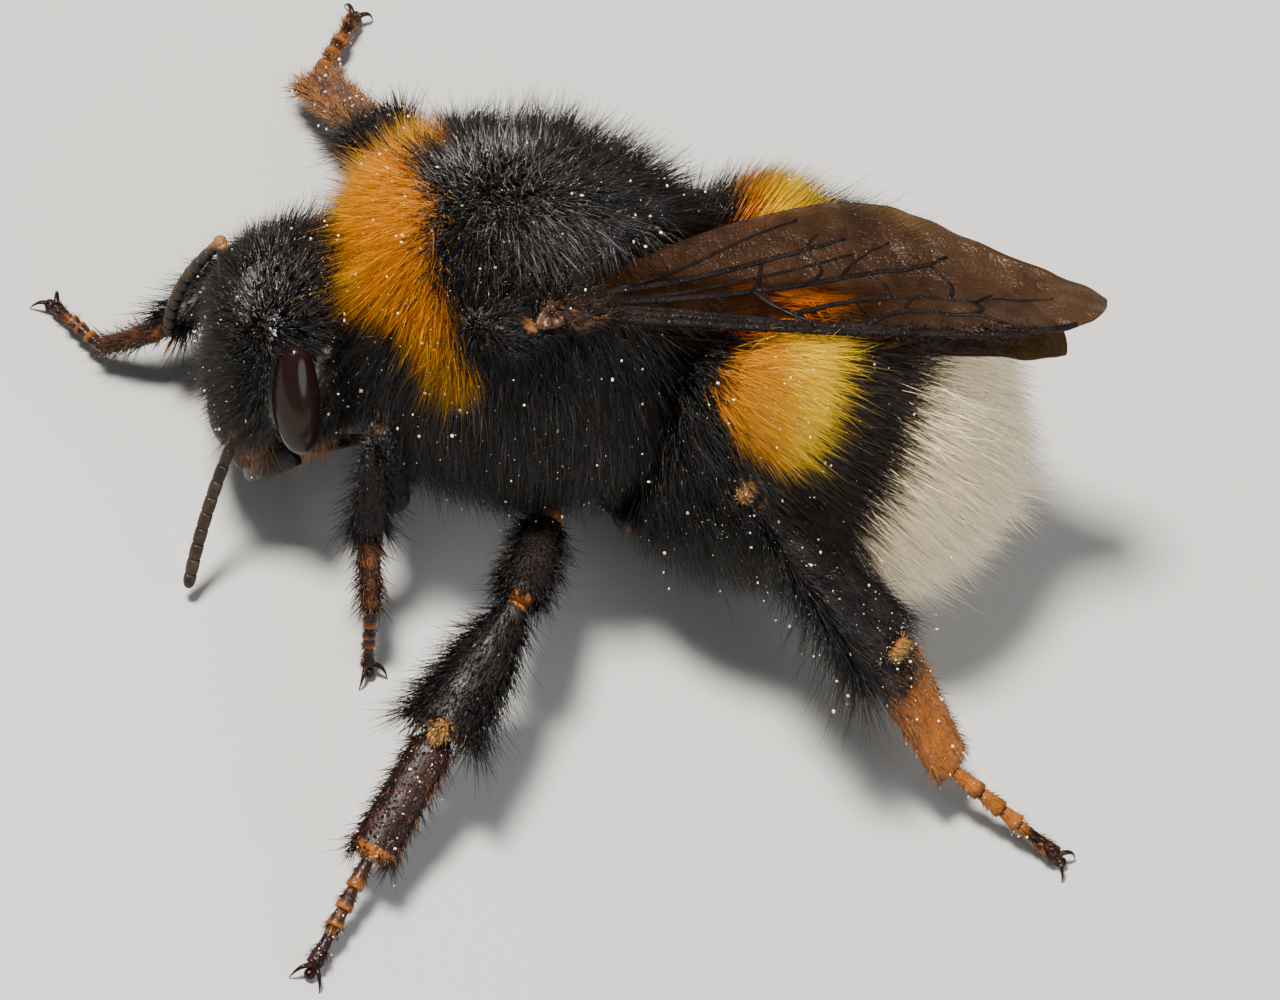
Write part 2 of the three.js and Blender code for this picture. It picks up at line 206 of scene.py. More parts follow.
def headPoint(polar, angle, depth=0.0):
    # polar 0 is the middle of the face and pi the back of the head, which is squarer than the face
    y = -np.cos(polar)
    r = np.sin(polar) ** np.where(y < 0, 1.0, 0.72)
    x = r * np.cos(angle)
    z = r * np.sin(angle)
    narrow = 1 - 0.3 * np.maximum(0, -z) ** 2
    z = z * (1 - 0.36 * np.maximum(0, z) * smooth(0.35, -0.75, y))
    deep = np.where(y < 0, head["front"], head["back"]) - depth
    return np.stack([x * narrow * (head["halfWidth"] - depth), y * deep,
                     z * (head["halfHeight"] - depth)], -1)


def lathed(pointAt, low, high, depth, rings=28, sides=36):
    # a closed body from one of the outlines above
    bm = bmesh.new()
    made = bmesh.ops.create_uvsphere(bm, u_segments=sides, v_segments=rings, radius=1)["verts"]
    for v in made:
        angle = math.atan2(v.co.y, v.co.x)
        along = low + (high - low) * math.acos(max(-1, min(1, v.co.z))) / math.pi
        v.co = Vector(pointAt(np.array(along), np.array(angle), depth))
    return bm


# start, end and half width of the neck and of the narrow waist, in the body's frame
stalks = (((0.1, -5.4, -0.9), (0, -3.2, -0.5), 1.7),
          ((0.05, 2.9, -0.8), (0.1, 4.6, -1.0), 1.5))


def bodyOfSkin():
    whole = bmesh.new()

    def add(bm, place):
        bmesh.ops.recalc_face_normals(bm, faces=bm.faces)
        bmesh.ops.transform(bm, matrix=place, verts=bm.verts)
        part = bpy.data.meshes.new("part")
        bm.to_mesh(part)
        bm.free()
        whole.from_mesh(part)
        bpy.data.meshes.remove(part)

    half = thorax["length"] / 2 - thorax["skinDepth"] * 0.8
    add(lathed(thoraxPoint, -half, half, thorax["skinDepth"]), bodyPlace)
    tip = abdomen["length"] - abdomen["skinDepth"]
    add(lathed(abdomenPoint, -0.4, tip, abdomen["skinDepth"]), tailPlace)
    add(lathed(headPoint, 0, math.pi, 0.0), skullPlace)
    for start, end, wide in stalks:
        stalk = bmesh.new()
        path = [Vector(start).lerp(Vector(end), t) for t in (0, 0.5, 1)]
        sweep(stalk, path, [wide] * 3, [wide * 0.9] * 3, (1, 0, 0), 24)
        add(stalk, bodyPlace)
    return whole


# borders of the markings: angle round the body from her left side over the back, in degrees, then the
# places along the thorax or the abdomen where the colour starts and ends there
collar = {
    "angles": (-180, 20, 26, 32, 44, 58, 74, 82, 90, 106, 122, 136, 148, 154, 160, 180),
    "front": (9, 9, -2.1, -2.4, -2.8, -3.1, -3.6, -4.6, -6, -6, -4.2, -3.4, -2.7, -2.0, 9, 9),
    "back": (-9, -9, -1.85, -1.85, -2.05, -2.35, -2.5, -2.45, -2.35, -2.2, -2.2, -2.15, -2.0, -2.0, -9, -9),
}
yellowBand = {
    "angles": (-180, -90, 12, 21, 27, 37, 51, 63, 90, 117, 129, 143, 153, 159, 168, 180),
    "front": (9, 9, 9, 2.1, 1.15, 0.75, 0.8, 0.95, 1.0, 1.1, 1.0, 1.0, 1.2, 2.0, 9, 9),
    "back": (-9, -9, -9, 1.8, 2.1, 2.35, 2.45, 2.4, 2.0, 1.75, 1.75, 1.85, 1.8, 1.7, -9, -9),
}
whiteFrom = {
    "angles": (-180, -150, -90, -20, 5, 25, 55, 90, 125, 155, 175, 180),
    "front": (4.6, 5.8, 6.5, 5.7, 4.5, 4.5, 4.6, 4.6, 4.6, 4.5, 4.5, 4.6),
}


def border(table, side, angle):
    return np.interp(np.degrees(np.arctan2(np.sin(angle), np.cos(angle))), table["angles"], table[side])


def bandMask(table, place, angle, soft):
    return (smooth(-soft, soft, place - border(table, "front", angle))
            * smooth(-soft, soft, border(table, "back", angle) - place))


def isWhite(s, angle):
    return smooth(-0.3, 0.3, s - border(whiteFrom, "front", angle))


# materials
def newGroup(name, inputs, outputs):
    tree = bpy.data.node_groups.new(name, "ShaderNodeTree")
    for label, kind, value in inputs:
        tree.interface.new_socket(label, in_out="INPUT", socket_type=kind).default_value = value
    for label, kind in outputs:
        tree.interface.new_socket(label, in_out="OUTPUT", socket_type=kind)
    return tree, tree.nodes.new("NodeGroupInput"), tree.nodes.new("NodeGroupOutput")


def node(tree, kind, settings=None, **inputs):
    made = tree.nodes.new(kind)
    for key, value in (settings or {}).items():
        setattr(made, key, value)
    for key, value in inputs.items():
        socket = made.inputs[int(key[1:])] if key[0] == "i" and key[1:].isdigit() else made.inputs[key]
        if isinstance(value, bpy.types.NodeSocket):
            tree.links.new(value, socket)
        else:
            socket.default_value = value
    return made


def mathNode(tree, operation, a, b=0.5, clamp=False):
    return node(tree, "ShaderNodeMath", {"operation": operation, "use_clamp": clamp}, i0=a, i1=b).outputs[0]


def mixColor(tree, factor, a, b, blend="MIX"):
    made = node(tree, "ShaderNodeMix", {"data_type": "RGBA", "blend_type": blend}, i0=factor, i6=a, i7=b)
    return made.outputs[2]


def attribute(tree, name):
    return node(tree, "ShaderNodeAttribute", {"attribute_name": name}).outputs["Fac"]


def rgba(color):
    return (*color, 1.0)


def noiseAt(tree, coordinate, scale, detail=4.0, rough=0.55):
    return node(tree, "ShaderNodeTexNoise", None, Vector=coordinate, Scale=scale, Detail=detail,
                Roughness=rough).outputs["Fac"]


# colour of a tuft: from its root to its tip, with its own shade, and a few odd ones
def strandGroup():
    black = rgba((0, 0, 0))
    tree, given, out = newGroup("strandTint", [
        ("Root", "NodeSocketColor", black), ("Tip", "NodeSocketColor", black),
        ("Odd", "NodeSocketColor", black), ("Odd Share", "NodeSocketFloat", 0.05),
        ("Spread", "NodeSocketFloat", 0.3), ("Tip From", "NodeSocketFloat", 0.3),
    ], [("Color", "NodeSocketColor"), ("Roughness", "NodeSocketFloat")])
    along = attribute(tree, "along")
    shade = attribute(tree, "shade")
    ramp = node(tree, "ShaderNodeMapRange", {"interpolation_type": "SMOOTHSTEP"}, i0=along,
                i1=given.outputs["Tip From"], i2=1.0).outputs[0]
    color = mixColor(tree, ramp, given.outputs["Root"], given.outputs["Tip"])
    odd = mathNode(tree, "LESS_THAN", shade, given.outputs["Odd Share"])
    color = mixColor(tree, odd, color, given.outputs["Odd"])
    # light and dark tufts side by side
    level = mathNode(tree, "MULTIPLY_ADD", shade, given.outputs["Spread"])
    level.node.inputs[2].default_value = 0.0
    level = mathNode(tree, "ADD", level, mathNode(tree, "SUBTRACT", 1.0,
                     mathNode(tree, "MULTIPLY", given.outputs["Spread"], 0.5)))
    grey = node(tree, "ShaderNodeCombineColor", None, i0=level, i1=level, i2=level).outputs[0]
    color = mixColor(tree, 1.0, color, grey, "MULTIPLY")
    tree.links.new(color, out.inputs["Color"])
    rough = node(tree, "ShaderNodeMapRange", None, i0=shade, i3=0.13, i4=0.42).outputs[0]
    tree.links.new(rough, out.inputs["Roughness"])
    return tree


# fine pits and scratches of insect shell, and a mask of their deepest places
def chitinGroup():
    tree, given, out = newGroup("chitin", [
        ("Pit Scale", "NodeSocketFloat", 9000.0), ("Wave Scale", "NodeSocketFloat", 900.0),
    ], [("Height", "NodeSocketFloat"), ("Wear", "NodeSocketFloat")])
    where = node(tree, "ShaderNodeTexCoord").outputs["Object"]
    pits = node(tree, "ShaderNodeTexVoronoi", {"feature": "SMOOTH_F1"}, Vector=where,
                Scale=given.outputs["Pit Scale"], Smoothness=0.4).outputs["Distance"]
    fine = noiseAt(tree, where, given.outputs["Wave Scale"], 6.0, 0.6)
    deep = node(tree, "ShaderNodeMapRange", None, i0=pits, i1=0.05, i2=0.45).outputs[0]
    height = mathNode(tree, "ADD", mathNode(tree, "MULTIPLY", deep, 0.7),
                      mathNode(tree, "MULTIPLY", fine, 0.6))
    tree.links.new(height, out.inputs["Height"])
    wear = node(tree, "ShaderNodeMapRange", None, i0=fine, i1=0.42, i2=0.66).outputs[0]
    tree.links.new(wear, out.inputs["Wear"])
    return tree


strandTint = strandGroup()
chitin = chitinGroup()


def newMaterial(name):
    material = bpy.data.materials.new(name)
    material.use_nodes = True
    tree = material.node_tree
    return material, tree, tree.nodes["Principled BSDF"]


def coatMaterial(name, look):
    material, tree, shader = newMaterial(name)
    tint = node(tree, "ShaderNodeGroup", {"node_tree": strandTint})
    for key in ("Root", "Tip", "Odd"):
        tint.inputs[key].default_value = rgba(look[key])
    tint.inputs["Odd Share"].default_value = look["oddShare"]
    tint.inputs["Spread"].default_value = look["spread"]
    tint.inputs["Tip From"].default_value = look["tipFrom"]
    tree.links.new(tint.outputs["Color"], shader.inputs["Base Color"])
    tree.links.new(tint.outputs["Roughness"], shader.inputs["Roughness"])
    shader.inputs["Specular IOR Level"].default_value = look["gloss"]
    shader.inputs["Sheen Weight"].default_value = look["sheen"]
    shader.inputs["Sheen Roughness"].default_value = 0.4
    return material


coatLooks = {
    "coatBlack": {"Root": (0.0015, 0.0012, 0.0012), "Tip": (0.008, 0.006, 0.005), "Odd": (0.06, 0.038, 0.025),
                  "oddShare": 0.04, "spread": 0.9, "tipFrom": 0.3, "gloss": 0.32, "sheen": 0.0},
    "coatSoot": {"Root": (0.002, 0.0015, 0.0012), "Tip": (0.018, 0.011, 0.007), "Odd": (0.09, 0.052, 0.028),
                 "oddShare": 0.12, "spread": 0.9, "tipFrom": 0.4, "gloss": 0.25, "sheen": 0.0},
    "coatOrange": {"Root": (0.32, 0.072, 0.0), "Tip": (0.47, 0.158, 0.0), "Odd": (0.12, 0.04, 0.0),
                   "oddShare": 0.05, "spread": 0.6, "tipFrom": 0.1, "gloss": 0.12, "sheen": 0.0},
    # paler gold, for the collar's lowest tip and for the painted highlight on its front edge on top
    "coatYellowerAndHighlit": {"Root": (0.42, 0.14, 0.0), "Tip": (0.58, 0.30, 0.0), "Odd": (0.3, 0.1, 0.0),
                   "oddShare": 0.05, "spread": 0.5, "tipFrom": 0.1, "gloss": 0.12, "sheen": 0.0},
    "coatAmber": {"Root": (0.36, 0.09, 0.0), "Tip": (0.43, 0.175, 0.0), "Odd": (0.35, 0.14, 0.0),
                  "oddShare": 0.04, "spread": 0.5, "tipFrom": 0.2, "gloss": 0.12, "sheen": 0.0},
    "coatYellow": {"Root": (0.52, 0.24, 0.0), "Tip": (0.68, 0.43, 0.0), "Odd": (0.45, 0.22, 0.01),
                   "oddShare": 0.04, "spread": 0.5, "tipFrom": 0.2, "gloss": 0.2, "sheen": 0.0},
    # the white pile is darker and browner towards its roots: painted shade deep in the pile
    "coatWhite": {"Root": (0.90, 0.67, 0.39), "Tip": (1.0, 0.87, 0.60), "Odd": (0.42, 0.27, 0.14),
                  "oddShare": 0.10, "spread": 0.35, "tipFrom": 0.0, "gloss": 0.3, "sheen": 0.1},
    "coatRust": {"Root": (0.10, 0.035, 0.008), "Tip": (0.36, 0.14, 0.03), "Odd": (0.08, 0.03, 0.012),
                 "oddShare": 0.15, "spread": 0.7, "tipFrom": 0.1, "gloss": 0.35, "sheen": 0.0},
    "coatGold": {"Root": (0.14, 0.05, 0.01), "Tip": (0.46, 0.25, 0.06), "Odd": (0.07, 0.025, 0.01),
                 "oddShare": 0.15, "spread": 0.8, "tipFrom": 0.1, "gloss": 0.35, "sheen": 0.0},
    # near white strands that stand for glints of light on the dark legs: painted glints
    "coatPaintedGlints": {"Root": (0.25, 0.17, 0.16), "Tip": (0.95, 0.82, 0.78), "Odd": (0.16, 0.05, 0.02),
                   "oddShare": 0.15, "spread": 0.8, "tipFrom": 0.0, "gloss": 0.8, "sheen": 0.0},
    # pale grey strands that stand for light glinting off the black pile: a painted sheen
    "coatPaintedSheen": {"Root": (0.02, 0.015, 0.015), "Tip": (0.22, 0.20, 0.20), "Odd": (0.3, 0.2, 0.1),
                  "oddShare": 0.10, "spread": 0.9, "tipFrom": 0.1, "gloss": 0.7, "sheen": 0.0},
    "coatShin": {"Root": (0.006, 0.003, 0.002), "Tip": (0.024, 0.010, 0.006), "Odd": (0.30, 0.09, 0.02),
                 "oddShare": 0.07, "spread": 0.8, "tipFrom": 0.2, "gloss": 0.35, "sheen": 0.0},
    "coatBrown": {"Root": (0.010, 0.005, 0.003), "Tip": (0.06, 0.024, 0.010), "Odd": (0.24, 0.085, 0.02),
                  "oddShare": 0.10, "spread": 0.8, "tipFrom": 0.2, "gloss": 0.35, "sheen": 0.0},
}
coats = {name: coatMaterial(name, look) for name, look in coatLooks.items()}


# skin: black shell with the same markings as the coat, from the masks in its own attributes
markTones = {"orange": (0.32, 0.07, 0.0), "yellow": (0.48, 0.16, 0.0), "white": (0.55, 0.45, 0.32)}


def skinMaterial():
    material, tree, shader = newMaterial("beeSkin")
    where = node(tree, "ShaderNodeTexCoord").outputs["Object"]
    blotch = noiseAt(tree, where, 700.0)
    color = mixColor(tree, blotch, rgba((0.004, 0.003, 0.003)), rgba((0.012, 0.009, 0.007)))
    for mask, tone in markTones.items():
        color = mixColor(tree, attribute(tree, mask), color, rgba(tone))
    detail = node(tree, "ShaderNodeGroup", {"node_tree": chitin})
    detail.inputs["Pit Scale"].default_value = 6500.0
    bump = node(tree, "ShaderNodeBump", None, Strength=0.5, Distance=0.00002, Height=detail.outputs["Height"])
    tree.links.new(color, shader.inputs["Base Color"])
    tree.links.new(bump.outputs[0], shader.inputs["Normal"])
    rough = node(tree, "ShaderNodeMapRange", None, i0=detail.outputs["Wear"], i3=0.22, i4=0.42).outputs[0]
    tree.links.new(rough, shader.inputs["Roughness"])
    return material


# shell of the limbs: black to amber where the attribute says so
def shellMaterial(name, look):
    material, tree, shader = newMaterial(name)
    detail = node(tree, "ShaderNodeGroup", {"node_tree": chitin})
    detail.inputs["Pit Scale"].default_value = look["pits"]
    detail.inputs["Wave Scale"].default_value = look["waves"]
    where = node(tree, "ShaderNodeTexCoord").outputs["Object"]
    dark = mixColor(tree, detail.outputs["Wear"], rgba(look["dark"]), rgba(look["worn"]))
    amber = mixColor(tree, noiseAt(tree, where, 2200.0), rgba(look["amberDeep"]), rgba(look["amber"]))
    grain = noiseAt(tree, where, 3800.0)
    edge = mathNode(tree, "ADD", attribute(tree, "amber"), mathNode(tree, "MULTIPLY", grain, look["mottle"]))
    mask = node(tree, "ShaderNodeMapRange", {"interpolation_type": "SMOOTHSTEP"}, i0=edge,
                i1=0.5 + look["mottle"] * 0.3, i2=0.9 + look["mottle"] * 0.5).outputs[0]
    tree.links.new(mixColor(tree, mask, dark, amber), shader.inputs["Base Color"])
    rough = node(tree, "ShaderNodeMapRange", None, i0=detail.outputs["Wear"], i3=look["polish"],
                 i4=look["polish"] + 0.2).outputs[0]
    tree.links.new(rough, shader.inputs["Roughness"])
    bump = node(tree, "ShaderNodeBump", None, Strength=look["bump"], Distance=0.00003,
                Height=detail.outputs["Height"])
    tree.links.new(bump.outputs[0], shader.inputs["Normal"])
    shader.inputs["Specular IOR Level"].default_value = look["gloss"]
    return material


shellLook = {"dark": (0.004, 0.003, 0.003), "worn": (0.014, 0.008, 0.006),
             "amber": (0.30, 0.095, 0.010), "amberDeep": (0.06, 0.014, 0.004), "mottle": 0.45,
             "polish": 0.42, "bump": 0.8, "gloss": 0.2, "pits": 9000.0, "waves": 1400.0}
legShell = shellMaterial("legShell", shellLook)
tarsusShell = shellMaterial("tarsusShell", {
    **shellLook, "dark": (0.005, 0.0016, 0.0014), "worn": (0.018, 0.005, 0.003),
    "polish": 0.28, "mottle": 0.6, "bump": 1.0, "gloss": 0.16})
faceShell = shellMaterial("faceShell", {**shellLook, "polish": 0.4, "pits": 5500.0, "gloss": 0.2})
hornShell = shellMaterial("hornShell", {
    **shellLook, "dark": (0.008, 0.006, 0.005), "worn": (0.035, 0.02, 0.01),
    "amber": (0.30, 0.155, 0.045), "amberDeep": (0.07, 0.028, 0.008)})
polishedShell = shellMaterial("polishedShell", {
    **shellLook, "polish": 0.1, "bump": 0.25, "gloss": 0.6, "pits": 5500.0})
wingRootShell = shellMaterial("wingRootShell", {
    **shellLook, "amber": (0.34, 0.14, 0.05), "amberDeep": (0.03, 0.012, 0.006),
    "polish": 0.2, "mottle": 0.9, "waves": 3200.0})
veinShell = shellMaterial("veinShell", {
    **shellLook, "dark": (0.003, 0.002, 0.002), "worn": (0.008, 0.005, 0.004), "gloss": 0.1})


def eyeMaterial():
    material, tree, shader = newMaterial("compoundEye")
    where = node(tree, "ShaderNodeTexCoord").outputs["Object"]
    facets = node(tree, "ShaderNodeTexVoronoi", {"feature": "F1"}, Vector=where, Scale=26000.0,
                  Randomness=0.25)
    cloud = noiseAt(tree, where, 420.0, 3.0)
    # paler brown towards the bottom of the eye: a painted reflection of the floor
    low = node(tree, "ShaderNodeMapRange", {"interpolation_type": "SMOOTHSTEP"},
               i0=attribute(tree, "low")).outputs[0]
    color = mixColor(tree, cloud, rgba((0.003, 0.0012, 0.0015)), rgba((0.009, 0.0035, 0.003)))
    color = mixColor(tree, mathNode(tree, "MULTIPLY", low, 0.75), color, rgba((0.014, 0.009, 0.006)))
    tree.links.new(color, shader.inputs["Base Color"])
    bump = node(tree, "ShaderNodeBump", None, Strength=0.22, Distance=0.000008,
                Height=facets.outputs["Distance"])
    tree.links.new(bump.outputs[0], shader.inputs["Normal"])
    rough = node(tree, "ShaderNodeMapRange", None, i0=cloud, i3=0.10, i4=0.2).outputs[0]
    tree.links.new(rough, shader.inputs["Roughness"])
    shader.inputs["Coat Weight"].default_value = 0.12
    shader.inputs["Coat Roughness"].default_value = 0.05
    shader.inputs["Specular IOR Level"].default_value = 0.10
    return material


def membraneMaterial():
    material, tree, shader = newMaterial("wingMembrane")
    where = node(tree, "ShaderNodeTexCoord").outputs["Object"]
    out = attribute(tree, "outer")
    fold = noiseAt(tree, where, 1500.0, 5.0)
    grain = noiseAt(tree, where, 14000.0, 2.0)
    color = mixColor(tree, fold, rgba((0.004, 0.002, 0.001)), rgba((0.040, 0.018, 0.008)))
    shader.inputs["Specular IOR Level"].default_value = 0.22
    tree.links.new(color, shader.inputs["Base Color"])
    height = mathNode(tree, "ADD", fold, mathNode(tree, "MULTIPLY", grain, 0.25))
    bump = node(tree, "ShaderNodeBump", None, Strength=0.9, Distance=0.00014, Height=height)
    tree.links.new(bump.outputs[0], shader.inputs["Normal"])
    rough = node(tree, "ShaderNodeMapRange", None, i0=grain, i1=0.35, i2=0.65, i3=0.12, i4=0.5).outputs[0]
    tree.links.new(rough, shader.inputs["Roughness"])
    clear = node(tree, "ShaderNodeBsdfTransparent", None, Color=rgba((0.94, 0.74, 0.46)))
    smoke = mathNode(tree, "ADD", out, mathNode(tree, "MULTIPLY", fold, 0.3))
    dense = node(tree, "ShaderNodeMapRange", None, i0=smoke, i1=0.1, i2=1.25, i3=0.10, i4=0.92).outputs[0]
    both = node(tree, "ShaderNodeMixShader", None, i0=dense, i1=clear.outputs[0], i2=shader.outputs[0])
    tree.links.new(both.outputs[0], tree.nodes["Material Output"].inputs["Surface"])
    return material


def dustMaterial():
    material, tree, shader = newMaterial("dust")
    where = node(tree, "ShaderNodeTexCoord").outputs["Object"]
    color = mixColor(tree, noiseAt(tree, where, 1800.0), rgba((0.50, 0.38, 0.20)), rgba((0.85, 0.78, 0.62)))
    tree.links.new(color, shader.inputs["Base Color"])
    shader.inputs["Roughness"].default_value = 0.5
    return material


print("materials made")


# camera, floor and light
view = {"azimuth": 70, "elevation": 55, "roll": 21.5, "pixelsPerMm": 40.5, "distance": 280,
        "pictureWidth": 1280, "sensor": 36, "aimed": (-0.366, 2.208, 0)}


def addCamera():
    az, el, roll = (math.radians(view[k]) for k in ("azimuth", "elevation", "roll"))
    flat = Vector((math.cos(az), math.sin(az), 0))
    steep = Vector((-math.sin(az) * math.sin(el), math.cos(az) * math.sin(el), math.cos(el)))
    right = flat * math.cos(roll) + steep * math.sin(roll)
    up = steep * math.cos(roll) - flat * math.sin(roll)
    back = right.cross(up)
    data = bpy.data.cameras.new("camera")
    data.sensor_width = view["sensor"]
    data.lens = view["sensor"] * view["pixelsPerMm"] * view["distance"] / view["pictureWidth"]
    data.clip_start = 0.005
    camera = bpy.data.objects.new("camera", data)
    bpy.context.scene.collection.objects.link(camera)
    place = Matrix((right, up, back)).transposed().to_4x4()
    place.translation = (Vector(view["aimed"]) + back * view["distance"]) * mm
    camera.matrix_world = place
    bpy.context.scene.camera = camera
    return right, up, back


floorLook = {"radius": 1000, "dark": (0.33, 0.325, 0.315), "pale": (0.36, 0.354, 0.345)}


def addStage():
    bm = bmesh.new()
    bmesh.ops.create_circle(bm, cap_ends=True, segments=96, radius=floorLook["radius"])
    mesh = meshFromBmesh("floor", bm)
    material, tree, shader = newMaterial("paleFloor")
    where = node(tree, "ShaderNodeTexCoord").outputs["Object"]
    color = mixColor(tree, noiseAt(tree, where, 30.0), rgba(floorLook["dark"]), rgba(floorLook["pale"]))
    tree.links.new(color, shader.inputs["Base Color"])
    shader.inputs["Roughness"].default_value = 0.9
    floor = bpy.data.objects.new("floor", mesh)
    bpy.context.scene.collection.objects.link(floor)
    mesh.materials.append(material)


def addLight(name, direction, distance, size, power, color):
    data = bpy.data.lights.new(name, "AREA")
    data.shape = "DISK"
    data.size = size
    data.energy = power
    data.color = color
    lamp = bpy.data.objects.new(name, data)
    bpy.context.scene.collection.objects.link(lamp)
    towards = Vector(direction).normalized()
    lamp.location = towards * distance
    lamp.rotation_mode = "QUATERNION"
    lamp.rotation_quaternion = towards.to_track_quat("Z", "Y")


lighting = {"key": {"distance": 0.35, "size": 0.07, "power": 5.0, "color": (1.0, 0.96, 0.9)},
            "fill": {"distance": 0.5, "size": 0.40, "power": 2.2, "color": (0.95, 0.97, 1.0)},
            "world": {"strength": 0.2, "color": (0.93, 0.95, 1.0)}}
imageRight, imageUp, towardsEye = addCamera()
addStage()
addLight("key", imageUp * 0.7 - imageRight * 0.15 + towardsEye, **lighting["key"])
addLight("fill", -imageUp * 0.3 + imageRight * 0.7 + towardsEye * 0.7, **lighting["fill"])
world = bpy.data.worlds.new("studio")
world.use_nodes = True
world.node_tree.nodes["Background"].inputs["Color"].default_value = rgba(lighting["world"]["color"])
world.node_tree.nodes["Background"].inputs["Strength"].default_value = lighting["world"]["strength"]
bpy.context.scene.world = world
print("camera, floor and lights placed")


# the skin
skin = {"voxel": 0.11, "smoothing": 4}


def makeSkin():
    bm = bodyOfSkin()
    source = bpy.data.meshes.new("skinSource")
    bm.to_mesh(source)
    bm.free()
    shell = bpy.data.objects.new("skinSource", source)
    bpy.context.scene.collection.objects.link(shell)
    remesh = shell.modifiers.new("one skin", "REMESH")
    remesh.mode = "VOXEL"
    remesh.voxel_size = skin["voxel"] * 1
    bpy.context.view_layer.update()
    mesh = bpy.data.meshes.new_from_object(shell.evaluated_get(bpy.context.evaluated_depsgraph_get()))
    bpy.data.objects.remove(shell)
    bm = bmesh.new()
    bm.from_mesh(mesh)
    for _ in range(skin["smoothing"]):
        bmesh.ops.smooth_vert(bm, verts=bm.verts, factor=0.5,
                              use_axis_x=True, use_axis_y=True, use_axis_z=True)
    mesh = meshFromBmesh("body_skin", bm)
    # the masks of the markings, from where each point lies on the body
    points = coordinates(mesh)
    inBody = moved(points, bodyPlace.inverted())
    inTail = moved(points, tailPlace.inverted())
    inSkull = moved(points, skullPlace.inverted())
    bend = np.arctan2(inTail[:, 1], 1 / tail["curl"] + inTail[:, 2])
    s = bend / tail["curl"]
    above = np.hypot(inTail[:, 1], 1 / tail["curl"] + inTail[:, 2]) - 1 / tail["curl"]
    around = np.arctan2(above / abdomen["height"], inTail[:, 0] / abdomen["width"])
    onTail = smooth(3.6, 4.2, inBody[:, 1])
    onHead = 1 - smooth(-0.2, 0.3, inSkull[:, 1] - 1.0)
    aroundThorax = np.arctan2(inBody[:, 2], inBody[:, 0])
    onCollar = bandMask(collar, inBody[:, 1], aroundThorax, 0.25)
    pointValue(mesh, "orange", onCollar * (1 - onHead) * (1 - onTail))
    pointValue(mesh, "yellow", bandMask(yellowBand, s, around, 0.3) * onTail)
    pointValue(mesh, "white", isWhite(s, around) * onTail)
    flesh = ["head", "collar", "thorax", "waist"] + [f"abdomen_{i}" for i in range(1, 7)]
    return addPiece("body_skin", mesh, skinMaterial(), flesh)


bodySkin = makeSkin()
print("skin:", len(bodySkin.data.polygons), "faces")


# wings: hinge in the body's frame, then inward sweep, rise of the tip and roof slope, in degrees
wings = {
    "forewing_left": {"hand": 1, "at": (3.22, 0.1, 3.0), "sweep": 3, "rise": -2, "roof": 7},
    "forewing_right": {"hand": -1, "at": (-3.3, 0.1, 2.05), "sweep": 16.8, "rise": -2, "roof": 2},
    "hindwing_left": {"hand": 1, "at": (2.9, 0.9, 2.15), "sweep": 2, "rise": -2, "roof": 4},
    "hindwing_right": {"hand": -1, "at": (-3.4, 0.9, 1.35), "sweep": 3, "rise": -2, "roof": 3},
}
foreWing = {"length": 13.9, "width": 4.6, "thickness": 0.035}
hindWing = {"length": 8.6, "width": 2.0, "thickness": 0.03}
wingGrid = {"across": 22, "along": 84}
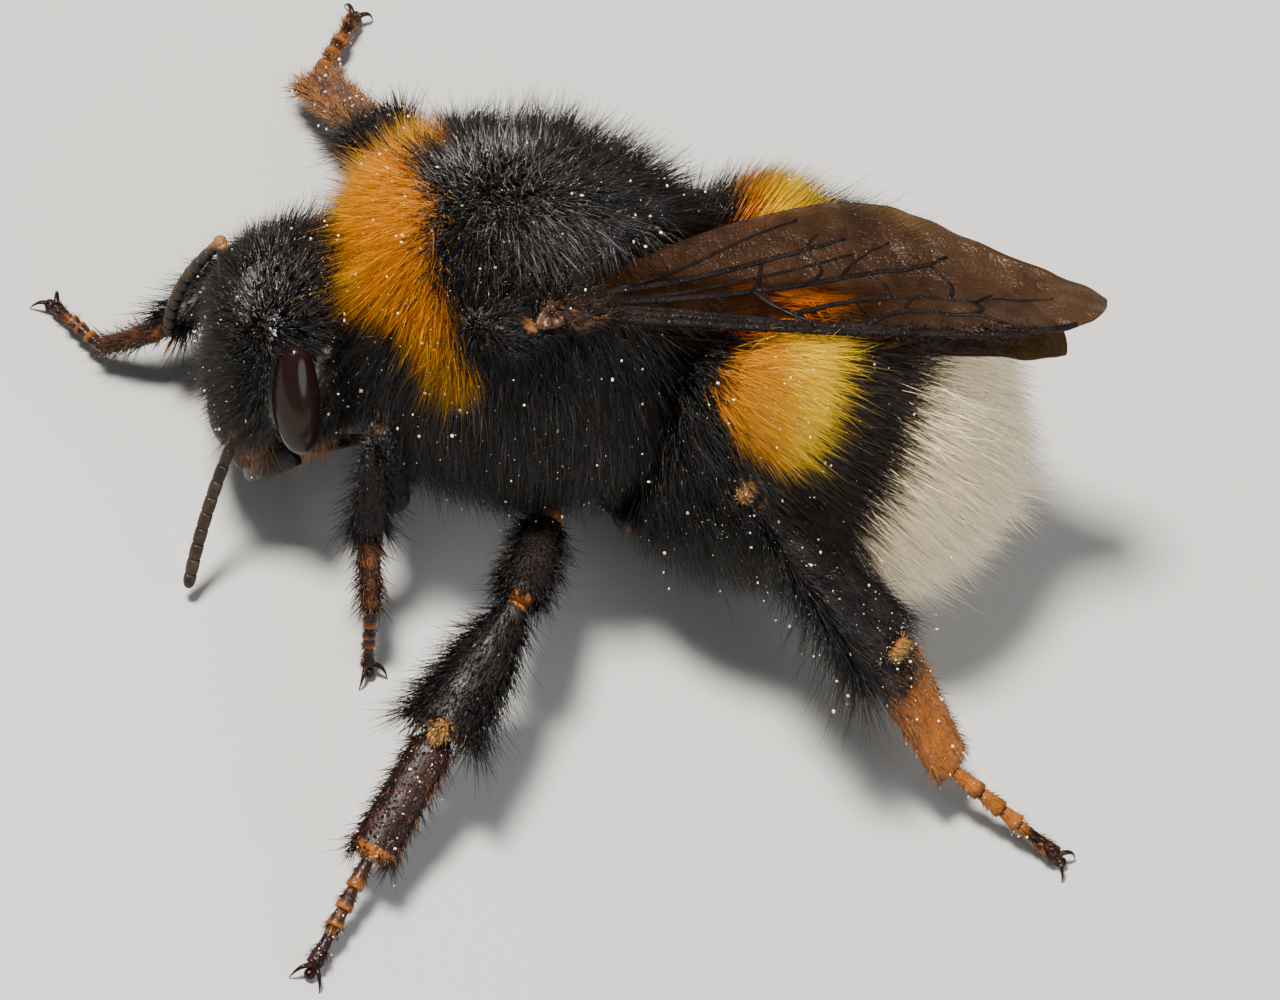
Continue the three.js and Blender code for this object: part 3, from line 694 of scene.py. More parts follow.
# veins: half thickness in mm, then points along and across the wing as shares of its length and width
foreVeins = {
    "costa": {"r": 0.15, "path": ((0.0, 0.02), (0.12, 0.07), (0.3, 0.085), (0.5, 0.082), (0.6, 0.07),
                                  (0.8, 0.04), (0.93, -0.06))},
    "radius": {"r": 0.15, "path": ((0.0, -0.01), (0.12, 0.02), (0.3, 0.045), (0.46, 0.05), (0.58, 0.05))},
    "stigma": {"r": 0.188, "path": ((0.5, 0.06), (0.54, 0.055), (0.58, 0.05), (0.61, 0.055))},
    "marginal": {"r": 0.0825, "path": ((0.55, 0.03), (0.6, -0.07), (0.68, -0.1), (0.77, -0.07),
                                       (0.84, 0.02))},
    "mediaStem": {"r": 0.128, "path": ((0.01, -0.04), (0.12, -0.06), (0.25, -0.12), (0.36, -0.2))},
    "basal": {"r": 0.09, "path": ((0.36, -0.2), (0.385, -0.1), (0.42, -0.02), (0.46, 0.04))},
    "cubitus": {"r": 0.09, "path": ((0.36, -0.2), (0.46, -0.28), (0.57, -0.38), (0.66, -0.44),
                                    (0.72, -0.52))},
    "anal": {"r": 0.105, "path": ((0.01, -0.05), (0.14, -0.16), (0.28, -0.3), (0.42, -0.46), (0.54, -0.6))},
    "crossAnal": {"r": 0.075, "path": ((0.365, -0.2), (0.375, -0.3), (0.385, -0.42))},
    "radialSector": {"r": 0.0825, "path": ((0.42, -0.02), (0.48, -0.1), (0.56, -0.18), (0.66, -0.22),
                                           (0.76, -0.2))},
    "firstCross": {"r": 0.0675, "path": ((0.545, 0.03), (0.55, -0.06), (0.54, -0.16))},
    "secondCross": {"r": 0.0675, "path": ((0.62, -0.08), (0.63, -0.15), (0.645, -0.215))},
    "thirdCross": {"r": 0.0675, "path": ((0.74, -0.085), (0.765, -0.13), (0.76, -0.2), (0.79, -0.26))},
    "firstRecurrent": {"r": 0.0675, "path": ((0.6, -0.2), (0.6, -0.3), (0.57, -0.38))},
    "secondRecurrent": {"r": 0.0675, "path": ((0.71, -0.215), (0.72, -0.32), (0.69, -0.46))},
    "subcosta": {"r": 0.085, "path": ((0.02, 0.0), (0.14, -0.015), (0.28, 0.005), (0.42, 0.03))},
    "foldFront": {"r": 0.06, "path": ((0.08, -0.06), (0.2, -0.13), (0.33, -0.26), (0.46, -0.4),
                                      (0.55, -0.5))},
    "foldRear": {"r": 0.06, "path": ((0.12, -0.16), (0.24, -0.34), (0.36, -0.56), (0.46, -0.72))},
    "netRoot": {"r": 0.055, "path": ((0.19, -0.09), (0.21, -0.16), (0.2, -0.24))},
    "netFront": {"r": 0.055, "path": ((0.28, 0.02), (0.3, -0.06), (0.29, -0.14))},
    "netBack": {"r": 0.055, "path": ((0.46, -0.28), (0.49, -0.38), (0.47, -0.52), (0.49, -0.62))},
    "netOuter": {"r": 0.05, "path": ((0.52, -0.33), (0.56, -0.48), (0.62, -0.6))},
    "netTip": {"r": 0.045, "path": ((0.77, -0.21), (0.84, -0.24), (0.9, -0.26))},
}
hindVeins = {
    "costa": {"r": 0.08, "path": ((0.0, 0.02), (0.2, 0.1), (0.5, 0.13), (0.75, 0.08), (0.92, -0.1))},
    "radius": {"r": 0.06, "path": ((0.0, -0.05), (0.25, -0.05), (0.5, -0.12), (0.75, -0.2))},
    "cubitus": {"r": 0.05, "path": ((0.0, -0.1), (0.2, -0.25), (0.45, -0.5), (0.62, -0.68))},
    "cross": {"r": 0.04, "path": ((0.42, -0.09), (0.44, -0.28), (0.46, -0.5))},
}


def wingPlace(one):
    # the right wings are the left ones, mirrored
    return (bodyPlace @ shiftBy(one["at"]) @ turn("Z", one["hand"] * one["sweep"])
            @ turn("X", one["rise"]) @ turn("Y", one["hand"] * one["roof"])
            @ Matrix.Diagonal((one["hand"], 1, 1, 1)))


def sizeOf(name):
    return (foreWing, foreVeins) if name.startswith("fore") else (hindWing, hindVeins)


def wingEdges(size):
    length, width = size["length"], size["width"]
    lead = (bezier((0.35, 0, 0), (0.5, length * 0.25, 0), (0.45, length * 0.6, 0), (0.2, length * 0.8, 0), 24)
            + bezier((0.2, length * 0.8, 0), (0, length * 0.95, 0), (-width * 0.15, length, 0),
                     (-width * 0.3, length, 0), 16)[1:])
    trail = (bezier((-0.35, 0, 0), (-width * 0.5, length * 0.2, 0), (-width * 1.05, length * 0.55, 0),
                    (-width * 0.92, length * 0.7, 0), 24)
             + bezier((-width * 0.92, length * 0.7, 0), (-width * 0.85, length * 0.85, 0),
                      (-width * 0.6, length * 0.98, 0), (-width * 0.3, length, 0), 16)[1:])
    lead, trail = np.array([tuple(p) for p in lead]), np.array([tuple(p) for p in trail])
    front = np.interp(trail[:, 1], lead[:, 1], lead[:, 0])
    trail[:, 0] = front + (trail[:, 0] - front) * (1 - 0.33 * smooth(0.5, 0.92, trail[:, 1] / length))
    return lead, trail


# the folded blade isn't flat: it sinks between its veins and crumples towards its edge
def wingHeight(x, y, size):
    u = y / size["length"]
    v = x / size["width"]
    pleat = 0.07 * np.sin(9 * v + 2.2 * u) * smooth(0.02, 0.25, u)
    ripple = 0.06 * np.sin(3.1 * y + 4 * v) * np.cos(2.3 * x + 0.7 * y) * smooth(0.35, 0.9, u)
    ripple = ripple + 0.03 * np.sin(5.3 * y - 6 * x) * np.cos(4.7 * x + 2.1 * y) * smooth(0.2, 0.6, u)
    return pleat + ripple + 0.10 * (1 - smooth(0.0, 0.5, -v)) - 0.05


def makeWing(name, one):
    size, veins = sizeOf(name)
    lead, trail = wingEdges(size)
    place = wingPlace(one)
    bm = bmesh.new()
    bmesh.ops.create_grid(bm, x_segments=wingGrid["across"], y_segments=wingGrid["along"], size=1)
    for v in bm.verts:
        across = (v.co.x + 1) / 2
        y = size["length"] * (1 - (1 - (v.co.y + 1) / 2) ** 1.25) * 0.9995
        x = (np.interp(y, lead[:, 1], lead[:, 0]) * across
             + np.interp(y, trail[:, 1], trail[:, 0]) * (1 - across))
        v.co = Vector((x, y, wingHeight(x, y, size)))
    bmesh.ops.remove_doubles(bm, verts=bm.verts, dist=1e-4)
    bmesh.ops.recalc_face_normals(bm, faces=bm.faces)
    bmesh.ops.solidify(bm, geom=bm.faces[:], thickness=size["thickness"])
    # smoky towards the tip, and where the blade lies double behind its front cells
    outer = []
    for v in bm.verts:
        far, behind = v.co.y / size["length"], v.co.x / size["width"]
        double = 0.75 * smooth(-0.22, -0.36, behind) * smooth(0.1, 0.3, far)
        outer.append(max(smooth(0.5, 0.74, far), double))
    mesh = meshFromBmesh(name + "_membrane", bm, place)
    pointValue(mesh, "outer", outer)
    addPiece(name + "_membrane", mesh, membrane, [name])

    bm = bmesh.new()
    for vein in veins.values():
        points = []
        path = [Vector((p[1] * size["width"], p[0] * size["length"], 0)) for p in vein["path"]]
        ends = [path[0]] + path + [path[-1]]
        for a, b, c, d in zip(ends, ends[1:], ends[2:], ends[3:]):
            # a smooth course through every point of the vein
            points += interpolate_bezier(b, b + (c - a) / 6, c - (d - b) / 6, c, 6)[:-1]
        points.append(path[-1])
        for p in points:
            p.z = float(wingHeight(p.x, p.y, size))
        taper = [vein["r"] * (1 - 0.45 * i / (len(points) - 1)) for i in range(len(points))]
        sweep(bm, points, taper, [0.75 * r for r in taper], (1, 0, 0.01), 7)
    addShell(name + "_veins", bm, place, 0.05, veinShell, ())


membrane = membraneMaterial()
for wingName, oneWing in wings.items():
    makeWing(wingName, oneWing)
print("wings made")


# hairs that grow below a folded wing stay below it, and those above it stay above
def keepOffWings(points, roots):
    for name, one in wings.items():
        size, _ = sizeOf(name)
        lead, trail = wingEdges(size)
        place = wingPlace(one)
        back = place.inverted()
        local = moved(points, back)
        start = moved(roots, back)[:, None, :]
        y = np.clip(local[..., 1], 0, size["length"])
        inside = ((local[..., 1] > 0.9) & (local[..., 1] < size["length"] + 0.2)
                  & (local[..., 0] < np.interp(y, lead[:, 1], lead[:, 0]) + 0.15)
                  & (local[..., 0] > np.interp(y, trail[:, 1], trail[:, 0]) - 0.15))
        level = wingHeight(local[..., 0], local[..., 1], size)
        clear = 0.12
        low = inside & (start[..., 2] < level) & (local[..., 2] > level - clear)
        high = inside & (start[..., 2] >= level) & (local[..., 2] < level + clear)
        squeeze = np.clip(local[..., 2] - level + clear, 0, None)
        local[..., 2] = np.where(low, level - clear - 0.12 * np.tanh(squeeze), local[..., 2])
        local[..., 2] = np.where(high, level + clear, local[..., 2])
        points = np.where((low | high)[..., None], moved(local, place), points)
    return points


# tufts
corner = np.radians([0, 120, 240])
bentFaces = np.array([[0, 2, 1], [0, 1, 4], [0, 4, 3], [1, 2, 5], [1, 5, 4], [2, 0, 3], [2, 3, 5],
                      [3, 4, 6], [4, 5, 6], [5, 3, 6]])
straightFaces = np.array([[0, 2, 1], [0, 1, 3], [1, 2, 3], [2, 0, 3]])
tuft = {"bentShare": 0.16, "sunk": 0.06, "strayLength": 1.3, "aboveFloor": 0.04, "patch": 0.0015}


tips = []        # the ends of the tufts, one array for each coat piece
thin = 1.0


# roots spread evenly over a surface pointAt(u, v), both from 0 to 1, thinned by a weight
def spreadRoots(pointAt, count, weightAt, rng, cells=(180, 140)):
    u, v = np.meshgrid((np.arange(cells[0]) + 0.5) / cells[0],
                       (np.arange(cells[1]) + 0.5) / cells[1], indexing="ij")

    def slopes(u, v):
        e = 1e-3
        du = pointAt(u + e, v) - pointAt(u - e, v)
        dv = pointAt(u, np.clip(v + e, 0, 1)) - pointAt(u, np.clip(v - e, 0, 1))
        return du, dv

    du, dv = slopes(u, v)
    share = np.linalg.norm(np.cross(du, dv), axis=-1) * weightAt(pointAt(u, v), u, v)
    pick = rng.choice(share.size, count, p=(share / share.sum()).ravel())
    u = (pick // cells[1] + rng.random(count)) / cells[0]
    v = (pick % cells[1] + rng.random(count)) / cells[1]
    du, dv = slopes(u, v)
    return u, v, pointAt(u, v), unit(np.cross(du, dv)), unit(dv)


# the columns of several lots of roots, joined
def joined(parts):
    return (np.concatenate(column) for column in zip(*parts))


# a coat piece: every tuft is a thin three-sided strand that ends in a point, and some bend once on the way
def growCoat(name, material, roots, normals, lie, form, uv, rng, off=True):
    count = len(roots)
    length = form["length"] * (1 + form.get("ragged", 0.22) * rng.standard_normal(count).clip(-1.6, 1.8))
    stray = rng.random(count) < form.get("strays", 0.02)
    length = np.where(stray, length * tuft["strayLength"], length)
    rise0 = np.broadcast_to(form["rise"], (count,))[:, None]
    rise1 = rise0 * form.get("droop", 0.55)
    wander = rng.standard_normal((count, 3)) * form.get("wander", 0.13)
    x, y, z = roots.T
    wave = np.stack([np.sin(2.9 * y + 1.9 * z), np.sin(2.3 * z + 2.6 * x + 1),
                     np.sin(3.1 * x + 2.7 * y + 2)], -1) * form.get("clump", 0.1)
    lie = unit(lie - normals * (lie * normals).sum(-1, keepdims=True))
    first = unit(normals * rise0 + lie * (1 - rise0) + wander + wave)
    second = unit(normals * rise1 + lie * (1 - rise1) + wander * 1.5 + wave)
    step = length[:, None] / 2
    start = roots - normals * tuft["sunk"]
    middle = start + first * step
    end = middle + second * step
    if off:
        middle, end = np.moveaxis(keepOffWings(np.stack([middle, end], 1), start), 1, 0)
    middle, end = (np.concatenate([p[:, :2], np.maximum(p[:, 2:], tuft["aboveFloor"])], 1)
                   for p in (middle, end))
    side = unit(np.cross(first, rng.standard_normal((count, 3))))
    other = np.cross(first, side)
    width = np.broadcast_to(form["width"], (count,)) * (0.75 + 0.5 * rng.random(count))
    ring = (side[:, None, :] * np.cos(corner)[None, :, None]
            + other[:, None, :] * np.sin(corner)[None, :, None])
    ring = ring * (width / 2)[:, None, None]
    shade = rng.random(count)
    uv = np.clip(uv, 0.003, 0.997)
    bent = int(count * tuft["bentShare"])
    layers = (
        (slice(0, bent), [start[:bent, None] + ring[:bent], middle[:bent, None] + ring[:bent] * 0.75,
                          end[:bent, None]], bentFaces, (0, 0, 0, 0.5, 0.5, 0.5, 1.0),
         ((-1, -1), (0, -1), (1, -1), (-1, 0), (0, 0.2), (1, 0), (0, 1))),
        (slice(bent, count), [start[bent:, None] + ring[bent:], end[bent:, None]], straightFaces,
         (0, 0, 0, 1.0), ((-1, -1), (0, -1), (1, -1), (0, 1))),
    )
    verts, triangles, maps, along, shades, used = [], [], [], [], [], 0
    for which, rows, faces, marks, patch in layers:
        points = np.concatenate(rows, 1)
        amount, each = points.shape[:2]
        verts.append(points.reshape(-1, 3))
        triangles.append((faces[None] + used + each * np.arange(amount)[:, None, None]).reshape(-1, 3))
        maps.append((uv[which][:, None, :] + np.array(patch)[None] * tuft["patch"]).reshape(-1, 2))
        along.append(np.tile(marks, amount))
        shades.append(np.repeat(shade[which], each))
        used += amount * each
    mesh = meshFromArrays(name, np.concatenate(verts), np.concatenate(triangles), np.concatenate(maps),
                          {"along": np.concatenate(along), "shade": np.concatenate(shades)})
    addPiece(name, mesh, material, ())
    tips.append(end)
    print("coat", name, count, "tufts,", len(mesh.polygons), "triangles")


# a coat piece whose roots are given in a frame of the body
def growInFrame(name, material, place, points, normals, lie, form, uv, rng):
    growCoat(name, material, moved(points, place), normals @ rot(place), lie @ rot(place),
             form, uv, rng)




def outward(normals, points, middle):
    return normals * np.sign(((points - middle) * normals).sum(-1, keepdims=True))


def rot(place):
    return np.array(place)[:3, :3].T


# coat of the thorax
def thoraxRoot(u, v):
    half = thorax["length"] / 2 - thorax["skinDepth"] * 0.8
    y = -half * np.cos(np.pi * np.clip(v, 0, 1))
    return thoraxPoint(y, 2 * np.pi * u, thorax["skinDepth"])


def growThorax(name, material, count, chooseAt, form, seed):
    rng = np.random.default_rng(seed)

    def weight(p, u, v):
        half = thorax["length"] / 2 - thorax["skinDepth"] * 0.8
        inWaist = (p[..., 1] > 3.1) & (np.hypot(p[..., 0], p[..., 2] + 0.9) < 2.0)
        inNeck = (p[..., 1] < -3.3) & (np.hypot(p[..., 0], p[..., 2] + 0.7) < 1.9)
        return chooseAt(p, 2 * np.pi * u) * ~(inWaist | inNeck) * (np.abs(p[..., 1]) < half)

    u, v, points, normals, _ = spreadRoots(thoraxRoot, int(count * thin), weight, rng)
    normals = outward(normals, points, np.zeros(3))
    lie, rise, length = form["lieAt"](points)
    shape = {**form, "rise": rise, "length": length}
    growInFrame(name, material, bodyPlace, points, normals, lie, shape, np.stack([u, v], -1), rng)


parting = 2.5        # the pile parts this far to the right of the middle of the back


def collarLie(p):
    # the pile runs down both flanks, its front edge leans a little forward
    fore = smooth(-3.0, -4.0, p[:, 1])
    side = np.tanh((p[:, 0] + parting) / 0.8)
    high = smooth(1.2, 3.2, p[:, 2])
    lie = np.stack([0.66 * side, 0.24 - (0.4 + 1.3 * high) * fore, -0.75 * np.abs(side) - 0.02], -1)
    rise = 0.36 + 0.55 * (1 - side ** 2) * (1 - 0.8 * fore) + 0.1 * fore
    return lie, rise, 1.65 - 0.15 * high + 0.45 * high * fore


def thoraxLie(p):
    # erect along the middle of the back, down both flanks, and back over the waist
    high = smooth(-1.0, 2.2, p[:, 2])
    side = np.tanh((p[:, 0] + parting) / 0.9)
    rear = smooth(1.6, 3.4, p[:, 1]) * high
    front = smooth(-2.8, -3.8, p[:, 1])
    lie = np.stack([0.66 * side, 0.12 + 1.1 * rear - 0.5 * front, -0.75 * np.abs(side) - 0.02], -1)
    rise = 0.38 + 0.5 * (1 - side ** 2) * high * (1 - 0.7 * rear) - 0.04 * rear
    return lie, rise, 1.75 + 0.45 * rear - 0.1 * (1 - high)


collarForm = {"lieAt": collarLie, "width": 0.034, "droop": 0.7, "wander": 0.10, "clump": 0.05}
thoraxForm = {"lieAt": thoraxLie, "width": 0.032, "droop": 0.65, "wander": 0.16, "clump": 0.10}


def inCollar(p, angle):
    return bandMask(collar, p[..., 1], angle, 0.18)


def outOfCollar(p, angle):
    return 1 - inCollar(p, angle)


def yellowerAndHighlit(p):
    # the front edge on top is painted paler, a painted highlight where the pile is backlit, and the lowest
    # tip is yellower
    onTop = smooth(-2.9, -3.6, p[..., 1]) * smooth(2.4, 3.4, p[..., 2])
    return np.clip(onTop + 0.5 * smooth(2.2, 1.6, p[..., 2]), 0, 1)


# pale strands set in a band along the back, and thinly on the flank, where light glints off the black pile: a
# painted sheen
def paintedSheenPlaces(p, angle):
    degrees = np.degrees(np.arctan2(np.sin(angle), np.cos(angle)))
    onBack = smooth(64, 76, degrees) * smooth(100, 88, degrees) * smooth(-1.8, -0.6, p[..., 1])
    onFlank = 0.3 * smooth(-25, -8, degrees) * smooth(40, 22, degrees)
    return outOfCollar(p, angle) ** 2 * (onBack + onFlank)


growThorax("coat_collar", coats["coatOrange"], 18500,
           lambda p, a: inCollar(p, a) * (1 - yellowerAndHighlit(p)), collarForm, 11)
# the paler gold part: the lowest tip, and the painted highlight on the front edge on top
growThorax("coat_collar_yellower_and_highlit", coats["coatYellowerAndHighlit"], 6500,
           lambda p, a: inCollar(p, a) * yellowerAndHighlit(p), collarForm, 16)
# a painted sheen of pale strands over the black pile
growThorax("coat_thorax_painted_sheen", coats["coatPaintedSheen"], 2300, paintedSheenPlaces,
           {**thoraxForm, "width": 0.02, "wander": 0.06, "clump": 0.03}, 15)
growThorax("coat_thorax_back", coats["coatBlack"], 31500,
           lambda p, a: outOfCollar(p, a) * (p[..., 2] > 1.2), thoraxForm, 12)
growThorax("coat_thorax_left", coats["coatBlack"], 26000,
           lambda p, a: outOfCollar(p, a) * (p[..., 2] <= 1.2) * (p[..., 0] >= 0), thoraxForm, 13)
growThorax("coat_thorax_right", coats["coatBlack"], 17500,
           lambda p, a: outOfCollar(p, a) * (p[..., 2] <= 1.2) * (p[..., 0] < 0), thoraxForm, 14)


# coat of the abdomen
def abdomenRoot(u, v):
    tip = abdomen["length"] - abdomen["skinDepth"]
    s = tip * (1 - np.cos(np.pi * np.clip(v, 0, 1))) / 2
    return abdomenPoint(s, 2 * np.pi * u, abdomen["skinDepth"])


def alongOf(v):
    return (abdomen["length"] - abdomen["skinDepth"]) * (1 - np.cos(np.pi * v)) / 2


def growAbdomen(name, material, count, chooseAt, form, seed):
    rng = np.random.default_rng(seed)

    def weight(p, u, v):
        return chooseAt(alongOf(v), 2 * np.pi * u) * (alongOf(v) > 0.15)

    u, v, points, normals, along = spreadRoots(abdomenRoot, int(count * thin), weight, rng)
    s = alongOf(v)
    middle = np.array([0, 3.2, -0.2])
    normals = outward(normals, points, middle)
    along = along * np.sign(along[:, 1:2] + 1e-9)
    sideways = np.stack([np.sign(points[:, 0]) * 0.15, np.zeros(len(s)), -0.25 * np.ones(len(s))], -1)
    lie = along + sideways
    rise = form["rise"] + form.get("tipRise", 0) * smooth(6.5, 8.4, s)
    low = smooth(0.2, -0.7, np.sin(2 * np.pi * u))
    hang = form.get("hang", 0)        # longer below, shorter at the tip
    length = form["length"] + hang * low * smooth(4.8, 6.0, s) - hang * smooth(7.6, 8.6, s) * (1 - low)
    shape = {**form, "rise": rise, "length": length}
    growInFrame(name, material, tailPlace, points, normals, lie, shape, np.stack([u, v], -1), rng)


abdomenForm = {"length": 1.7, "rise": 0.42, "width": 0.033, "droop": 0.7, "wander": 0.09, "clump": 0.05}


def isYellow(s, a):
    return bandMask(yellowBand, s, a, 0.22)


def rearOfBand(s, a):
    front, back = border(yellowBand, "front", a), border(yellowBand, "back", a)
    share = (s - front) / np.maximum(back - front, 0.3)
    return smooth(0.15, 0.7, share + 0.35 * smooth(0.7, 0.95, np.sin(a)))


growAbdomen("coat_abdomen_front", coats["coatBlack"], 14000,
            lambda s, a: (1 - isYellow(s, a)) * (s < 2.0), {**abdomenForm, "rise": 0.5}, 21)
growAbdomen("coat_abdomen_amber", coats["coatAmber"], 13000,
            lambda s, a: isYellow(s, a) * (1 - rearOfBand(s, a)), abdomenForm, 22)
growAbdomen("coat_abdomen_yellow", coats["coatYellow"], 13000,
            lambda s, a: isYellow(s, a) * rearOfBand(s, a), abdomenForm, 25)
growAbdomen("coat_abdomen_middle", coats["coatSoot"], 25000,
            lambda s, a: (1 - isYellow(s, a)) * (1 - isWhite(s, a)) * (s >= 2.0), abdomenForm, 23)
growAbdomen("coat_abdomen_white", coats["coatWhite"], 29000, isWhite,
            {**abdomenForm, "length": 1.8, "tipRise": 0.05, "hang": 0.6}, 24)


# coat of the head
clypeus = {"at": (0, -1.1, -1.8), "width": 2.3, "depth": 0.8, "height": 1.5}
labrum = {"at": (0, -0.8, -3.0), "width": 1.3, "depth": 0.55, "height": 0.7}
ocelli = {"places": ((0, -0.62, 1.78), (0.42, -0.32, 2.02), (-0.42, -0.32, 2.02)), "radius": 0.1}
horns = {"socket": (0.5, -1.0, 0.45)}
eyeBare = (0.75, 0.78, 1.72)        # half sizes of the bare patch round each eye


def headRoot(u, v):
    return headPoint(np.pi * np.clip(v, 0.002, 0.998), 2 * np.pi * u)


def growHead(name, material, count, brown, seed):
    rng = np.random.default_rng(seed)

    def weight(p, u, v):
        x, y, z = np.abs(p[..., 0]), p[..., 1], p[..., 2]
        inEye = sum(((a - b) / c) ** 2 for a, b, c in zip((x, y, z), eye["at"], eyeBare)) < 1
        inClypeus = (x / 0.8) ** 2 + ((z + 1.95) / 0.5) ** 2 < 1
        nearHorn = np.hypot(x - horns["socket"][0], z - horns["socket"][2]) < 0.27
        nearOcelli = np.hypot(x * 0.8, z - 1.9) < 0.2
        front = y < 0
        gena = np.exp(-((y - 1.35) / 0.4) ** 2 - ((z - 0.95) / 0.45) ** 2) * smooth(0.8, 1.4, x)
        amount = (1 - 0.93 * np.clip(1.6 * gena, 0, 1)) * (y < 2.1)
        chin = smooth(-1.5, -2.1, z)
        amount = amount * (chin if brown else 1 - 0.7 * chin)
        return amount * ~(inEye | (front & (inClypeus | nearHorn | nearOcelli)))

    u, v, points, normals, _ = spreadRoots(headRoot, int(count * thin), weight, rng)
    normals = outward(normals, points, np.zeros(3))
    x, y, z = points.T
    top = smooth(0.9, 2.0, z)
    face = smooth(-0.1, -0.6, y)
    side = smooth(1.2, 2.0, np.abs(x)) * (1 - face)
    chin = smooth(-1.3, -2.1, z)
    lie = np.stack([0.15 * np.sign(x), 0.55 * top - 0.45 * face * (1 - top) - 0.3 * chin,
                    -0.75 * side * (1 - top) - 0.35 * face * (1 - top) - 0.8 * chin + 0.2 * top + 0.02], -1)
    rise = 0.62 + 0.16 * face * (1 - chin) + 0.05 * top - 0.34 * side * (1 - top)
    length = 0.74 + 0.65 * smooth(1.0, 2.0, z) * smooth(-0.1, 0.9, y) - 0.2 * side * (1 - top)
    low = face * smooth(0.2, -0.6, z)
    length = length + 0.25 * low
    width = 0.031 - 0.007 * face
    if brown:
        length = length + 0.3
        lie = lie - np.array((0, 0.1, 0.9))
    form = {"rise": rise, "length": length, "width": width, "droop": 0.75, "wander": 0.16, "clump": 0.08}
    growInFrame(name, material, skullPlace, points, normals, lie, form, np.stack([u, v], -1), rng)


growHead("coat_head", coats["coatBlack"], 22000, False, 31)
growHead("coat_cheeks", coats["coatRust"], 4500, True, 32)


# the thick front edge of a forewing carries a dense short down, longer round the wing's root
def growWingEdges():
    rng = np.random.default_rng(51)
    parts = []
    count = int(2600 * thin)
    for name in ("forewing_left", "forewing_right"):
        one = wings[name]
        place = wingPlace(one)
        path = np.array(foreVeins["costa"]["path"])
        along = rng.random(count) ** 2 * 0.85
        y = along * foreWing["length"]
        spread = 1 + 2.5 * smooth(0.12, 0.0, along)
        x = (np.interp(along, path[:, 0], path[:, 1]) * foreWing["width"]
             + rng.normal(-0.08, 0.11, count) * spread)
        base = np.stack([x, y, wingHeight(x, y, foreWing) + 0.04], -1)
        normals = np.tile((0.0, 0.0, 1.0), (count, 1)) + 0.5 * rng.standard_normal((count, 3))
        lie = np.stack([rng.normal(0.3, 0.5, count), np.ones(count), np.zeros(count)], -1)
        size = 0.28 + 0.8 * smooth(0.14, 0.0, along)
        parts.append((moved(base, place), unit(normals @ rot(place)), lie @ rot(place), size,
                      np.stack([0.5 + 0.4 * one["hand"] * np.ones(count), along], -1)))
    points, normals, lie, size, maps = joined(parts)
    form = {"length": size, "rise": 0.4, "width": 0.02, "droop": 0.8, "wander": 0.2, "clump": 0.05}
    growCoat("coat_wing_edges", coats["coatSoot"], points, normals, lie, form, maps, rng, False)


growWingEdges()


# eyes, simple eyes and the plates of the face
def ellipsoid(bm, at, size, place=None, rings=20, sides=28):
    made = bmesh.ops.create_uvsphere(bm, u_segments=sides, v_segments=rings, radius=0.5)["verts"]
    bmesh.ops.scale(bm, vec=size, verts=made)
    bmesh.ops.transform(bm, matrix=shiftBy(at) @ (place or Matrix()), verts=made)
    return made


def makeEyes():
    glass = eyeMaterial()
    for side, hand in (("left", 1), ("right", -1)):
        bm = bmesh.new()
        ellipsoid(bm, (0, 0, 0), (eye["width"], eye["depth"] * 0.84, eye["length"] * 0.92), None, 40, 36)
        for v in bm.verts:
            # a kidney shape, a little hollow along its front edge
            v.co.y *= 1 + 0.3 * (2 * v.co.z / eye["length"]) ** 4
            v.co.y += 0.10 * (v.co.z / eye["length"]) ** 2 * 4 - 0.06
        # how low each point lies, for the eye's painted reflection of the floor
        low = [0.5 - v.co.z / eye["length"] for v in bm.verts]
        at = Vector((hand * eye["at"][0], eye["at"][1], eye["at"][2]))
        place = skullPlace @ shiftBy(at) @ turn("Y", -hand * eye["tilt"])
        mesh = meshFromBmesh(f"eye_{side}_lens", bm, place)
        pointValue(mesh, "low", low)
        addPiece(f"eye_{side}_lens", mesh, glass, [f"eye_{side}"])
    bm = bmesh.new()
    for place in ocelli["places"]:
        ellipsoid(bm, place, [ocelli["radius"] * 2] * 3, None, 12, 16)
    mesh = meshFromBmesh("simple_eyes", bm, skullPlace)
    # a little of the same painted reflection on the simple eyes
    pointValue(mesh, "low", [0.2] * len(mesh.vertices))
    addPiece("simple_eyes", mesh, glass, ())


def plate(name, part, replaced, amber):
    bm = bmesh.new()
    ellipsoid(bm, (0, 0, 0), (part["width"], part["depth"], part["height"]), None, 24, 32)
    for v in bm.verts:
        # squared like a shield rather than an egg
        v.co.x *= 1 + 0.12 * abs(v.co.z / part["height"])
    addShell(name, bm, skullPlace @ shiftBy(part["at"]), amber, faceShell, [replaced])


makeEyes()
gena = {"at": (1.78, 1.22, 0.86), "width": 0.8, "depth": 1.1, "height": 0.95}


def makeGenae():
    for side, hand in (("left", 1), ("right", -1)):
        bm = bmesh.new()
        at = Vector(gena["at"]) * Vector((hand, 1, 1))
        ellipsoid(bm, at, (gena["width"], gena["depth"], gena["height"]), None, 20, 28)
        addShell(f"gena_{side}", bm, skullPlace, 0.0, polishedShell, ())


makeGenae()
plate("clypeus_shield", clypeus, "clypeus", 0.0)
plate("labrum_flap", labrum, "labrum", 0.3)

jaws = {"root": (1.7, 0.4, -2.1), "bend": (1.4, -0.5, -2.9), "tip": (0.35, -0.6, -3.3), "half": 0.36}
tongue = {"root": (0, 0.35, -2.9), "tip": (0, 2.3, -3.05), "half": 0.36}


